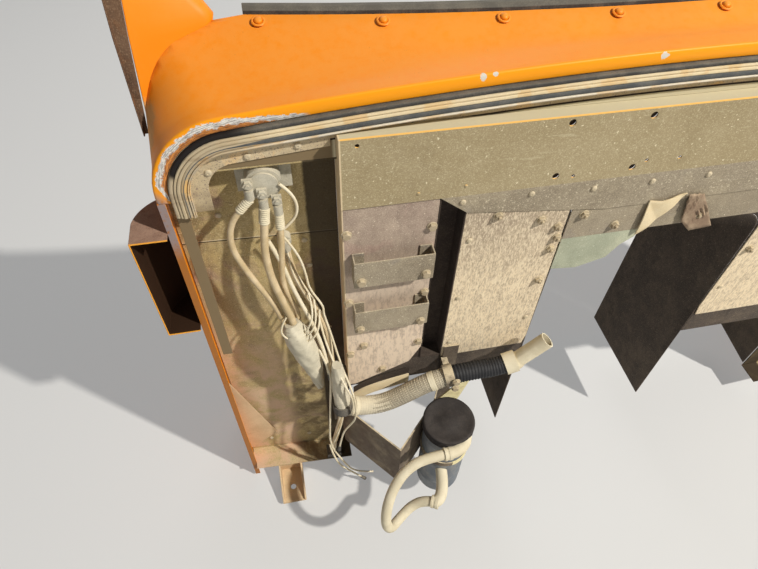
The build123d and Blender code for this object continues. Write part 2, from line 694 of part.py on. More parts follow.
def cable(points, radius):
    """A round cable along straight runs joined by tangent arcs."""
    points = [Vector(*p) for p in points]
    radii = []
    for before, corner, after in zip(points, points[1:], points[2:]):
        run_in = corner - before
        run_out = after - corner
        half_turn = math.radians(run_in.get_angle(run_out)) / 2
        radii.append(0.45 * min(run_in.length, run_out.length) / math.tan(half_turn))
    path = FilletPolyline(*points, radius=radii)
    return sweep(Plane(path @ 0, z_dir=path % 0) * Circle(radius), path=path)


def clear(shape, route, radius):
    """Cut a cable's seat, with its clearance, out of the piece that holds it."""
    points = [Vector(*p) for p in route]
    first = points[0] + (points[0] - points[1]).normalized() * SEAT
    last = points[-1] + (points[-1] - points[-2]).normalized() * SEAT
    return shape - cable([first, *points[1:-1], last], radius + SEAT)


def seated(shape, end, inner, radius):
    """Cut the seat of a cord's straight end, with its clearance, out of the piece that holds it."""
    end, inner = Vector(end), Vector(inner)
    return shape - rod(end + (end - inner).normalized() * SEAT, inner, radius + SEAT)


def terminal_block():
    """Bulkhead power terminal: flange, round body, three studs, nuts and cable lugs."""
    x, z = TERMINAL_X, TERMINAL_Z
    low, high = x - TERMINAL_REACH[0], x + TERMINAL_REACH[1]
    flange = [(low, recess_y(low) - SEAT), (high, recess_y(high) - SEAT), (high, TERMINAL_FRONT_Y),
              (low, TERMINAL_FRONT_Y)]
    shape = extrude(Pos(0, 0, z - TERMINAL_RISE / 2) * outline(flange), TERMINAL_RISE)
    shape += rod((x, TERMINAL_FRONT_Y + 2, z), (x, 26, z), TERMINAL_RISE / 2 - 2)
    shape += rod((x, 28, z), (x, 22, z), TERMINAL_RISE / 2 - 8)
    for name, radius, route in CABLES[:3]:
        stud_x, stud_z = route[0][0], route[0][2] + LUG_LENGTH
        shape += rod((stud_x, 33, stud_z), (stud_x, 7, stud_z), 4)
        nut = Pos(stud_x, 17, stud_z) * Rot(90, 0, 0) * RegularPolygon(8.5, 6)
        shape += extrude(nut, 7)
        shape += block((stud_x - 9, stud_x + 9), (16.5, 22), (stud_z - 14, stud_z + 9))
        shape += Pos(stud_x, 17, stud_z - 22) * Cylinder(8.5, 22)
    for name, radius, route in CABLES[:3]:
        shape = seated(shape, route[0], route[1], radius)
    return shape


def trunk_gland():
    """Gland on the outboard panel that the trunk leaves downwards."""
    name, radius, route = CABLES[3]
    x, y, z = route[0]
    back = recess_y(x + radius + 6) - SEAT
    shape = rod((x, back, z + 8), (x, y, z + 8), radius + 6) + Pos(x, y, z + 1) * Cylinder(radius + 4, 26)
    return seated(shape, route[0], route[1], radius)


def connector_boot():
    """Two taped boots: over the joined power cables, and over the leads that enter the conduit."""
    boots = []
    for top, top_radius, tip, tip_radius in BOOTS:
        boots.append(loft([Pos(*top) * Circle(top_radius), Pos(*tip) * Circle(tip_radius)]))
    for name, radius, route in CABLES[:3]:
        boots[0] = seated(boots[0], route[-1], route[-2], radius)
    ringed = boots[1] + rod(*RING_ENDS, RING_RADIUS)
    boots[1] = seated(ringed, CONDUIT_ROUTE[0], CONDUIT_ROUTE[1], CONDUIT_RADIUS)
    return Compound(boots)


def harness_clip():
    """P-clip that holds the trunk to the step panel's folded edge."""
    name, radius, route = CABLES[3]
    start, end = [Vector(*p) for p in route[7:9]]
    middle = (start + end) * 0.5
    half_run = (end - start).normalized() * 9
    ring = rod(middle - half_run, middle + half_run, radius + 4)
    z = (middle.Z - 8, middle.Z + 8)
    face = -BOX_HALF - SEAT
    arm = block((middle.X, face), (middle.Y - 5, middle.Y + 1), z)
    tab = block((face - 3, face), (middle.Y - 5, 34), z)
    return ring + arm + tab - rod(start, end, radius + SEAT)


def harness_plug():
    """Moulded connector that stands on the bottom flange and takes the trunk."""
    name, radius, route = CABLES[3]
    floor = PANEL_BOTTOM_Z + SKIN + SEAT
    x, y, z = route[-1]
    body = block((x - 22, x + 22), (y - 17, y + 19), (floor, floor + 22))
    neck = Pos(x, y, floor + 24) * Cylinder(radius + 4, 12)
    return seated(body + neck, route[-1], route[-2], radius)


def conduit_fitting():
    """Collar and smooth pipe that carry the conduit on towards the engine."""
    before = Vector(*CONDUIT_ROUTE[-2])
    start, end = [Vector(*p) for p in OUTLET_ENDS]
    along = (start - before).normalized()
    collar = rod(start - along * 26, start + along * 6, CONDUIT_RADIUS + 4)
    turn = start + along * 6
    pipe = rod(turn, end, OUTLET_RADIUS)
    bore = rod(turn + (end - turn) * 0.3, end + (end - turn) * 0.1, OUTLET_BORE)
    outlet = collar + Pos(*turn) * Sphere(OUTLET_RADIUS + 3) + pipe - bore
    return seated(outlet, start, before, CONDUIT_RADIUS)


def standoff_bracket():
    """V-shaped plate on an upright foot, with the conduit's clamp and the canister's band."""
    line = Polyline(*STANDOFF_PLAN)
    strap = extrude(Pos(0, 0, STANDOFF_Z[0]) * trace(line, STANDOFF_PLATE), STANDOFF_Z[1] - STANDOFF_Z[0])
    upright = block((-482, -442), (-STANDOFF_PLATE - SEAT, -SEAT), UPRIGHT_Z)
    leaf = slab(outline(LEAF), -2 * STANDOFF_PLATE, -STANDOFF_PLATE)
    x, z = LEAF_HOLE
    leaf -= rod((x, -BEYOND, z), (x, -STANDOFF_PLATE, z), LEAF_HOLE_RADIUS)
    before, middle, after = [Vector(*p) for p in CONDUIT_ROUTE[CLAMP_INDEX - 1:CLAMP_INDEX + 2]]
    half_ring = (after - before).normalized() * 12
    ring = rod(middle - half_ring, middle + half_ring, CONDUIT_RADIUS + 5)
    lug_depth = (middle.Y + CONDUIT_RADIUS + 1, -2)
    lug = block((middle.X - 8, middle.X + 8), lug_depth, (middle.Z - 10, middle.Z + 10))
    band_bore = CANISTER_RADIUS + SEAT
    band = Cylinder(band_bore + SKIN, BAND_HEIGHT) - Cylinder(band_bore, 2 * BAND_HEIGHT)
    strap += Pos(CANISTER_X, CANISTER_Y, sum(STANDOFF_Z) / 2) * band
    return clear(strap + upright + leaf + ring + lug, CONDUIT_ROUTE, CONDUIT_RADIUS)


def canister():
    """Round fluid canister with a ribbed rubber cap and two elbow ports."""
    height = CANISTER_TOP_Z - CANISTER_BOTTOM_Z
    body = Cylinder(CANISTER_RADIUS, height)
    body = fillet(body.edges().group_by(Axis.Z)[0], 12)
    shape = Pos(CANISTER_X, CANISTER_Y, (CANISTER_TOP_Z + CANISTER_BOTTOM_Z) / 2) * body
    for index in range(CAP_RIBS):
        level = CANISTER_TOP_Z + index * CAP_RIB_HEIGHT
        rib = Cylinder(CAP_RADIUS, CAP_RIB_HEIGHT)
        rib = chamfer(rib.edges(), 3)
        shape += Pos(CANISTER_X, CANISTER_Y, level + CAP_RIB_HEIGHT / 2) * rib
    hose_ends = (HOSE_ROUTE[:2], HOSE_ROUTE[:-3:-1])
    for (elbow, root), (end, inner) in zip(PORTS, hose_ends):
        lead = (Vector(inner) - Vector(end)).normalized() * COLLAR_RADIUS
        shape += rod(Vector(end) + lead, elbow, COLLAR_RADIUS)
        shape += Pos(*elbow) * Sphere(COLLAR_RADIUS)
        shape += rod(elbow, root, COLLAR_RADIUS)
        shape = seated(shape, end, inner, HOSE_RADIUS)
    return shape


def insulation_flaps():
    """Two torn flaps of the tunnel's insulation, caught under the strip."""
    flaps = []
    for points in FLAPS:
        flap = outline([(x, STRIP_BOTTOM_Z + rise) for x, rise in points])
        flaps.append(slab(flap, -2 * SKIN, -SKIN - SEAT))
    return Compound(flaps)


os.makedirs("parts", exist_ok=True)

put(cowl_panel(), "cowl_panel")
both(cowl_corner(), "cowl_corner")
both(pillar_foot(), "pillar_foot")
put(pair(drip_rail()), "drip_rails")
put(gasket(), "windshield_gasket")
both(side_skin(), "side_skin")
both(hinge_pillar(), "hinge_pillar")
both(scoop(), "air_scoop")
both(vent_door(), "vent_door")
put(seal_rail(), "seal_rail")
put(Compound([seal_rubber(0), seal_rubber(1)]), "hood_seals")
put(plenum_panel(), "plenum_panel")
put(firewall_box(), "firewall_box")
both(outer_panel(), "outer_panel")
both(step_panel(), "step_panel")
put(strap_brackets(), "strap_brackets")
put(pair(slot_channel()), "slot_channels")
both(cover_panel(), "cover_panel")
put(cover_strip(), "cover_strip")
put(tunnel_plate(), "tunnel_plate")
put(tunnel(), "tunnel")
both(toe_board(), "toe_board")
put(pair(gusset()), "gussets")
both(cab_mount(), "cab_mount")
put(Compound([terminal_block(), trunk_gland()]), "terminal_block")
put(Compound([cable(route, radius) for name, radius, route in CABLES[:3]]), "power_cables")
put(cable(CABLES[3][2], CABLES[3][1]), "harness_trunk")
put(connector_boot(), "connector_boot")
put(harness_clip(), "harness_clip")
put(harness_plug(), "harness_plug")
put(cable(CONDUIT_ROUTE, CONDUIT_RADIUS), "conduit")
put(conduit_fitting(), "conduit_fitting")
put(standoff_bracket(), "standoff_bracket")
put(canister(), "canister")
put(cable(HOSE_ROUTE, HOSE_RADIUS), "canister_hose")
put(insulation_flaps(), "insulation_flaps")
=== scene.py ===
import json
import math
import random

import bmesh
import bpy
from mathutils import Matrix, Quaternion, Vector


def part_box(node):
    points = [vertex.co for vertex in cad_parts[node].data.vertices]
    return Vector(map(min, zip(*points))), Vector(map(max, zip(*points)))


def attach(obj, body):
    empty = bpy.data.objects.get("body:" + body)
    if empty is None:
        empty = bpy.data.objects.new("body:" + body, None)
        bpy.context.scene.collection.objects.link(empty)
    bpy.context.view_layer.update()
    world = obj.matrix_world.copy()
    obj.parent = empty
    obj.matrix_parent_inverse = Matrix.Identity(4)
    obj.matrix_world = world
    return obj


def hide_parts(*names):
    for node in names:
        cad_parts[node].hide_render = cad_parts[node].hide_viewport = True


# Metres in the row frame: origin between the cab mounts, +Y to the cab, +X the truck's left.
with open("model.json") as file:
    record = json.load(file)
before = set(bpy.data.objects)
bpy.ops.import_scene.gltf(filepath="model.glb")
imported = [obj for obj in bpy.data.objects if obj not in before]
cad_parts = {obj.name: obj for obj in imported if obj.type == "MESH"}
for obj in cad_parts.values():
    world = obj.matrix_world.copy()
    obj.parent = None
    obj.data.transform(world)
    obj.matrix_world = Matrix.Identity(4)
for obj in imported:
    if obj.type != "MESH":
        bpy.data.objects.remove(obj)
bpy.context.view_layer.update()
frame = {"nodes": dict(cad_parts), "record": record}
nodes = frame["nodes"]
slots = {entry["node"]: entry["material_slot"] for entry in frame["record"]["subparts"]}
shift = 0.045  # the firewall's face; places on it are in millimetres
print("frame loaded", len(nodes))


# shader graph
class Value:
    # A socket that adds, multiplies and mixes.
    def __init__(self, graph, socket):
        self.graph = graph
        self.socket = socket

    def isWide(self):
        return self.socket.type in ("RGBA", "VECTOR")

    def math(self, operation, *others):
        wide = any(isinstance(o, tuple) or (isinstance(o, Value) and o.isWide()) for o in (self, *others))
        kind = "ShaderNodeVectorMath" if wide else "ShaderNodeMath"
        return self.graph.node(kind, {"operation": operation}, [self, *others])

    def __add__(self, other):
        return self.math("ADD", other)

    def __sub__(self, other):
        return self.math("SUBTRACT", other)

    def __mul__(self, other):
        return self.math("MULTIPLY", other)

    def __rsub__(self, other):
        return (self * -1.0) + other

    __radd__ = __add__
    __rmul__ = __mul__

    def clip(self):
        return self.graph.node("ShaderNodeClamp", {}, {"Value": self})

    def step(self, low, high):
        # 0 below low and 1 above high, with a soft change between.
        inputs = {"Value": self, "From Min": low, "From Max": high}
        return self.graph.node("ShaderNodeMapRange", {"interpolation_type": "SMOOTHSTEP"}, inputs)


class Graph:
    def __init__(self, tree):
        self.tree = tree
        tree.nodes.clear()

    def feed(self, socket, value):
        # Links a value into the socket, or sets a constant there.
        if isinstance(value, Value):
            self.tree.links.new(value.socket, socket)
        elif isinstance(value, tuple) and socket.type == "RGBA" and len(value) == 3:
            socket.default_value = (*value, 1.0)
        elif socket.type == "VECTOR" and not isinstance(value, tuple):
            socket.default_value = (value, value, value)
        else:
            socket.default_value = value

    def node(self, kind, settings, inputs, output=0):
        made = self.tree.nodes.new(kind)
        for key, value in settings.items():
            setattr(made, key, value)
        for key, value in inputs.items() if isinstance(inputs, dict) else enumerate(inputs):
            self.feed(made.inputs[key], value)
        return Value(self, made.outputs[output])


class Shade(Graph):
    def __init__(self, name):
        self.material = bpy.data.materials.new(name)
        self.material.use_nodes = True
        super().__init__(self.material.node_tree)
        self.output = self.tree.nodes.new("ShaderNodeOutputMaterial")
        self.surface = self.node("ShaderNodeBsdfPrincipled", {}, {})
        self.feed(self.output.inputs[0], self.surface)
        self.place = self.node("ShaderNodeTexCoord", {}, {}, "Object")

    def noise(self, scale, detail=4.0, rough=0.55, distortion=0.0, at=None):
        inputs = {"Vector": at or self.place, "Scale": scale, "Detail": detail, "Roughness": rough}
        return self.node("ShaderNodeTexNoise", {}, {**inputs, "Distortion": distortion}, "Fac")

    def stretch(self, factors, turn=(0.0, 0.0, 0.0)):
        inputs = {"Vector": self.place, "Rotation": turn, "Scale": factors}
        return self.node("ShaderNodeMapping", {}, inputs)

    def mix(self, factor, first, second):
        return self.node("ShaderNodeMix", {"data_type": "RGBA"}, {0: factor, 6: first, 7: second}, 2)

    def near(self, centre, radius, edge=0.5):
        # 1 inside a ball in the row frame, falling to 0 at its radius.
        far = self.node("ShaderNodeVectorMath", {"operation": "DISTANCE"}, [self.place, centre], "Value")
        return far.step(radius, radius * (1 - edge))

    def axis(self, index):
        return self.node("ShaderNodeSeparateXYZ", {}, {"Vector": self.place}, index)

    def across(self):
        return self.axis(0).math("ABSOLUTE")

    def normal(self, index):
        facing = self.node("ShaderNodeNewGeometry", {}, {}, "Normal")
        return self.node("ShaderNodeSeparateXYZ", {}, {"Vector": facing}, index)

    def joined(self, *values):
        return self.node("ShaderNodeCombineXYZ", {}, values)

    def bump(self, height, strength, distance):
        return self.node("ShaderNodeBump", {}, {"Height": height, "Strength": strength, "Distance": distance})

    def set(self, **values):
        for key, value in values.items():
            self.feed(self.surface.socket.node.inputs[key.replace("_", " ")], value)
        return self.material


def srgb(red, green, blue):
    # 0..255 screen values to the linear ones that sockets take
    def linear(c):
        c /= 255.0
        return c / 12.92 if c <= 0.04045 else ((c + 0.055) / 1.055) ** 2.4
    return (linear(red), linear(green), linear(blue))


def shades(**colours):
    return {name: srgb(*colour) for name, colour in colours.items()}


outline = {"crest": 1.385, "curve": 1 / 18, "cornerX": 0.907, "cornerZ": 1.1934, "radius": 0.145}


def archPlace(s):
    # Millimetres in from the cowl's outline, and metres round it from the foot of its corner.
    across, rise = s.across(), s.axis(2)
    out, up = across - outline["cornerX"], (rise - outline["cornerZ"]).math("MAXIMUM", 0.0)
    bend = outline["radius"] - (out * out + up * up).math("SQRT")
    crest = outline["crest"] - across * across * outline["curve"] - rise
    corner = out.step(0.0115, 0.0125)
    return (bend * corner + crest * (1 - corner)) * 1000.0, rise - across


# paints
usualPaint = {
    # scales of the noises and how much of each layer shows
    "broad": 6.0, "grain": 420.0, "stainAmount": 0.6, "stainScale": 7.0, "streak": (1.0, 1.0, 0.16),
    "grimeLow": 0.5, "grimeHigh": 0.66, "grimeAmount": 0.4, "dustAmount": 0.35, "dustUp": 0.5, "dustScale": 14.0,
    "grit": 0.25, "speckScale": 260.0, "speckLow": 0.7, "speckAmount": 0.4, "scratchAmount": 0.1,
    # the surface itself
    "rough": 0.66, "metallic": 0.0, "bump": 0.18, "grainBump": 0.35, "gloss": 0.2, "clear": 0.0,
}


def paintLook(base, faded, grime, dust, speck, **looks):
    # A paint's five colours, with what differs from the usual paint.
    return {**usualPaint, **shades(base=base, faded=faded, grime=grime, dust=dust, speck=speck), **looks}


def paint(name, look, extra=None):
    # Weathered sheet: fading, stains, streaks of grime, settled dust, grit, specks and fine scratches.
    s = Shade(name)
    broad = s.noise(look["broad"], 5.0, 0.6, 0.4)
    fine = s.noise(60.0, 6.0, 0.65)
    grain = s.noise(look["grain"], 3.0, 0.6)
    colour = s.mix(broad.step(0.35, 0.68), look["base"], look["faded"])
    if "stain" in look:
        patch = s.noise(look["stainScale"], 6.0, 0.62, 0.9).step(0.54, 0.66)
        colour = s.mix(patch * look["stainAmount"], colour, look["stain"])
    streak = s.noise(9.0, 5.0, 0.6, 0.3, at=s.stretch(look["streak"]))
    grime = (streak * 0.6 + fine * 0.4).step(look["grimeLow"], look["grimeHigh"])
    colour = s.mix(grime * look["grimeAmount"], colour, look["grime"])
    settled = s.normal(2).step(0.2, 0.95) * look["dustUp"] * fine.step(0.2, 0.6)
    dusty = (s.noise(look["dustScale"], 7.0, 0.7).step(0.42, 0.7) * look["dustAmount"] + settled).clip()
    colour = s.mix(dusty, colour, look["dust"])
    colour = s.mix(grain.step(0.52, 0.7) * look["grit"], colour, look["speck"])
    colour = s.mix((1 - grain).step(0.52, 0.7) * look["grit"], colour, look["grime"])
    specks = s.noise(look["speckScale"], 2.0, 0.4).step(look["speckLow"], look["speckLow"] + 0.03)
    colour = s.mix(specks * look["speckAmount"], colour, look["speck"])
    if look["scratchAmount"] > 0:
        scratch = s.noise(34.0, 3.0, 0.5, 0.2, at=s.stretch((0.25, 1.0, 2.4), (0.0, 0.5, 0.0))).step(0.69, 0.71)
        colour = s.mix(scratch * look["scratchAmount"], colour, look["speck"])
    s.rough = fine * 0.16 + dusty * 0.22 + look["rough"]
    s.height = fine * 0.5 + grain * look["grainBump"]
    if extra:
        colour = extra(s, colour)
    s.set(Base_Color=colour, Roughness=s.rough.clip(), Metallic=look["metallic"])
    s.set(Normal=s.bump(s.height, look["bump"], 0.001), Specular_IOR_Level=look["gloss"])
    if look["clear"]:
        s.set(Coat_Weight=look["clear"], Coat_Roughness=0.25)
    return s.material


mats = {}
orange = paintLook(
    (238, 136, 6), (242, 146, 16), (190, 106, 26), (236, 160, 78), (176, 104, 44), rough=0.4, broad=2.2,
    grimeAmount=0.16, grimeLow=0.54, grimeHigh=0.78, dustAmount=0.1, dustUp=0.34, speckAmount=0.45, speckLow=0.75,
    scratchAmount=0.0, grit=0.05, bump=0.07, grainBump=0.2, gloss=0.25, clear=0.06)
wear = {
    # the hood has rubbed the lip of the right corner down to primer and steel; lip is a painted highlight on the
    # lip's face, and side painted shade with grime on the side's front fold
    "begins": (0.150, 0.185), "ends": (0.43, 0.57), "upper": 5.0, "middle": 15.5,
    "chips": (((-0.491, 0.067, 1.366), 0.009), ((-0.470, 0.067, 1.370), 0.007), ((-0.172, 0.067, 1.376), 0.011),
              ((0.330, 0.067, 1.374), 0.010), ((0.905, 0.070, 1.340), 0.022)),
    "dirty": (((-1.044, 0.175, 1.250), 0.090), ((-1.050, 0.140, 1.190), 0.060)),
    **shades(white=(236, 232, 224), grey=(158, 152, 146), remains=(222, 146, 74), rust=(150, 94, 54),
             lines=(84, 66, 56), primer=(214, 208, 196), dirt=(214, 158, 96), brown=(190, 130, 76),
             side=(150, 92, 38), steel=(128, 128, 136), lip=(255, 164, 6)),
}


def spots(s, group):
    first, *rest = [s.near(centre, radius, 0.8) for centre, radius in wear[group]]
    return sum(rest, first).clip()


def rubbedPaint(s, colour):
    inset, along = archPlace(s)
    jagged = s.noise(46.0, 7.0, 0.7, 0.7) * 0.7 + s.noise(260.0, 3.0, 0.6) * 0.3
    streaks = s.noise(1.0, 5.0, 0.72, 0.5, at=s.joined(along * 46.0, inset * 0.55, 0.0))
    scores = s.noise(1.0, 4.0, 0.7, 0.3, at=s.joined(along * 90.0, inset * 0.9, 3.0))
    extent = along.step(*wear["begins"]) * (1 - along.step(*wear["ends"])) * (1 - s.axis(0).step(-0.5, -0.4))
    extent = extent * (1 - s.axis(1).step(0.074, 0.080))
    # painted highlight: the lip's front face brighter and more saturated than the rest of the paint
    colour = s.mix((1 - s.axis(1).step(0.067, 0.0735)) * 0.85, colour, wear["lip"])
    bite = inset + (jagged - 0.5) * 30.0 - (1 - extent) * 15.0
    torn = bite.step(wear["upper"], wear["upper"] + 1.0) * extent.step(0.02, 0.1)
    below = (bite + streaks * 12.0 - 6.0).step(wear["middle"], wear["middle"] + 1.5)
    scraped = s.mix(streaks.step(0.40, 0.56), wear["grey"], wear["white"])
    scraped = s.mix(below, scraped, s.mix(streaks.step(0.42, 0.58), wear["rust"], wear["remains"]))
    colour = s.mix(torn, colour, s.mix(scores.step(0.60, 0.63), scraped, wear["lines"]))
    chips = (spots(s, "chips") * 0.3 + jagged).step(0.62, 0.64) * spots(s, "chips").step(0.0, 0.1)
    colour = s.mix(chips, colour, wear["primer"])
    dirty = (spots(s, "dirty") * 0.5 + jagged * 0.6).step(0.42, 0.6) * spots(s, "dirty").step(0.0, 0.4)
    lines = s.noise(60.0, 5.0, 0.6, 0.5, at=s.stretch((1.0, 0.2, 1.6))).step(0.5, 0.6)
    colour = s.mix(dirty * lines * 0.3, s.mix(dirty * 0.85, colour, wear["dirt"]), wear["brown"])
    # the side's front fold is dark low down, grime and painted shade, and bare above
    fold = (s.normal(1) * -1.0).step(0.5, 0.9) * s.across().step(1.030, 1.034) * (1 - along.step(0.13, 0.17))
    foldShadeAndSteel = s.mix(s.axis(2).step(1.03, 1.10) * jagged.step(0.36, 0.5), wear["side"], wear["steel"])
    bare = (torn + chips).clip()
    s.rough = s.rough + bare * 0.3 + dirty * 0.25
    s.height = s.height - bare * (1.6 - streaks)
    return s.mix(fold * 0.9, colour, foldShadeAndSteel)


olive = paintLook(
    (160, 144, 110), (168, 152, 118), (134, 118, 90), (184, 170, 138), (226, 216, 184), rough=0.62, broad=4.0,
    grimeAmount=0.35, dustAmount=0.3, dustUp=0.0, speckAmount=0.9, speckLow=0.705, speckScale=150.0,
    scratchAmount=0.2, grit=0.42)
edging = {"half": 0.735, **shades(ledge=(204, 194, 164), front=(248, 196, 108), side=(228, 206, 168))}


def edgedPaint(s, colour):
    # A pale dusty ledge whose front edge shows the cab's colour, and pale rubbed outer folds.
    ledge = s.normal(2).step(0.5, 0.8)
    front = 1 - s.axis(1).step(0.0455, 0.0490)
    colour = s.mix(ledge * front, s.mix(ledge * 0.9, colour, edging["ledge"]), edging["front"])
    return s.mix(s.across().step(edging["half"] - 0.0035, edging["half"] - 0.0022) * 0.8, colour, edging["side"])


def risingDust(s, colour, dust, low, high, amount):
    # Road dust that lies thicker towards the bottom.
    runs = s.noise(1.0, 6.0, 0.75, 0.2, at=s.stretch((120.0, 120.0, 34.0)))
    share = (1 - s.axis(2).step(low, high)) * amount * (runs.step(0.36, 0.58) * 0.6 + 0.4)
    return s.mix(share, colour, dust)


stepBrown = paintLook(
    (150, 132, 118), (164, 144, 130), (112, 96, 86), (228, 208, 184), (222, 208, 186), stain=srgb(168, 134, 124),
    stainAmount=0.55, grimeAmount=0.5, dustAmount=0.3, speckAmount=0.8, speckLow=0.68, speckScale=200.0, grit=0.5)


def stepDust(s, colour):
    return edgedPaint(s, risingDust(s, colour, stepBrown["dust"], 0.62, 1.2, 1.1))


textured = paintLook(
    (172, 155, 134), (182, 165, 142), (124, 108, 92), (240, 220, 186), (238, 222, 192), rough=0.8, grimeAmount=0.12,
    dustAmount=0.2, dustUp=0.3, speckAmount=0.3, speckLow=0.66, grain=300.0, grainBump=1.2, bump=0.4,
    scratchAmount=0.0, grit=0.4, gloss=0.15)


def coverDust(s, colour):
    colour = risingDust(s, colour, textured["dust"], 0.82, 1.12, 0.9)
    brushed = s.noise(210.0, 3.0, 0.6, 0.3, at=s.stretch((1.6, 1.0, 0.5), (0.0, 0.6, 0.0)))
    s.height = s.height + brushed * 0.8
    colour = s.mix(brushed.step(0.5, 0.62) * 0.6, colour, textured["speck"])
    return s.mix((1 - brushed).step(0.5, 0.62) * 0.34, colour, textured["grime"])


bareTan = paintLook(
    (190, 172, 138), (206, 188, 154), (132, 116, 100), (222, 206, 174), (130, 112, 106), stain=srgb(232, 184, 112),
    stainScale=14.0, broad=9.0, grimeAmount=0.6, streak=(0.14, 1.0, 1.4), dustAmount=0.45, dustUp=0.3,
    speckAmount=0.8, speckLow=0.64, grit=0.55)
rail = shades(leg=(128, 110, 82), gap=(44, 36, 32))


def legShade(s, colour):
    # The rail's legs turn darker below about 1.13 to 1.19 m.
    return s.mix(1 - s.axis(2).step(1.13, 1.19), colour, rail["leg"])


def plenumPaint(s, colour):
    # Speckled strip under the rail, a dark line below it as painted shade between it and the ledge, and the pale
    # ledge behind.
    across = s.across()
    drop = outline["crest"] - s.axis(2) - across * across * outline["curve"]
    ledge = s.mix(across.step(0.738, 0.744), edging["ledge"], rail["leg"])
    return s.mix(drop.step(0.0825, 0.0835), s.mix(drop.step(0.0785, 0.0795), colour, rail["gap"]), ledge)


weathered = paintLook(
    (172, 152, 108), (194, 172, 118), (104, 87, 65), (204, 188, 150), (224, 210, 170), stain=srgb(170, 138, 124),
    stainAmount=0.8, stainScale=5.0, rough=0.7, broad=5.0, grimeAmount=0.6, dustAmount=0.45, dustScale=9.0,
    speckAmount=0.7, speckLow=0.68, scratchAmount=0.2, grit=0.5, bump=0.22)
lapped = {"height": 1.031, **shades(low=(214, 180, 152), soot=(50, 41, 32), edge=(226, 212, 180))}


def outerPaint(s, colour):
    # Lapped sheets, purple-brown stains low down that turn to dark grime and painted shade towards the box, and a
    # painted shadow of the box: a dark band in the corner beside it.
    across, rise = s.across(), s.axis(2)
    ragged = s.noise(18.0, 6.0, 0.65, 0.4)
    # towards the box the low stain is dark: grime, and painted shade of the cables
    stainsAndShade = s.mix(across.step(0.87, 0.92), weathered["grime"], lapped["low"])
    colour = s.mix((1 - rise.step(0.35, 1.0)) * ragged.step(0.36, 0.6) * 0.75, colour, stainsAndShade)
    lap = rise - lapped["height"]
    colour = s.mix(lap.step(-0.0030, -0.0022) * (1 - lap.step(-0.0006, 0.0)), colour, lapped["soot"])
    colour = s.mix(lap.step(0.0, 0.0004) * (1 - lap.step(0.0018, 0.0026)) * 0.8, colour, lapped["edge"])
    # painted shadow: the box's shadow on the recessed panel, as a dark band beside the box
    corner = 1 - (across + (ragged - 0.5) * 0.010).step(0.792, 0.799)
    s.height = s.height + lap.step(-0.0006, 0.0006) * 1.5
    return s.mix(corner * 0.9, colour, lapped["soot"])


scoopBrown = paintLook(
    (118, 90, 76), (136, 104, 86), (70, 52, 42), (172, 142, 122), (176, 148, 118), stain=srgb(150, 104, 70),
    stainAmount=0.4, stainScale=9.0, rough=0.65, scratchAmount=0.2, grit=0.3)
scoopEnds = shades(inside=(46, 28, 14), rim=(238, 164, 54))


def scoopPaint(s, colour):
    # Inside faces painted dark, grime and painted shade, with the body colour left along the mouth's rim.
    low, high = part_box("air_scoop_left")
    centre = (low + high) / 2
    middle = (s.axis(0).math("SIGN") * centre.x, centre.y, centre.z)
    inward = [s.normal(index) * (s.axis(index) - middle[index]) for index in range(3)]
    colour = s.mix(1 - (inward[0] + inward[1] + inward[2]).step(-0.002, 0.002), colour, scoopEnds["inside"])
    rim = 1 - s.axis(1).step(low.y + 0.0012, low.y + 0.0024)
    return s.mix(rim * 0.9, colour, scoopEnds["rim"])


bracketSteel = paintLook((92, 81, 71), (106, 94, 82), (66, 57, 50), (214, 198, 166), (190, 174, 148), broad=9.0,
                         dustAmount=0.25, dustUp=0.95)
leaf = {"inner": -0.4768, "front": 0.0407, "top": 0.476, **shades(cream=(236, 224, 176), grime=(196, 178, 132))}


def leafPaint(s, colour):
    # The small pale plate in front of the bracket's foot.
    inner, front, top = leaf["inner"], leaf["front"], leaf["top"]
    mask = s.axis(0).step(inner - 0.0004, inner) * (1 - s.axis(1).step(front - 0.0004, front))
    mask = mask * (1 - s.axis(2).step(top, top + 0.001))
    pale = s.mix(s.noise(60.0, 5.0, 0.65).step(0.45, 0.68) * 0.6, leaf["cream"], leaf["grime"])
    return s.mix(mask, colour, pale)


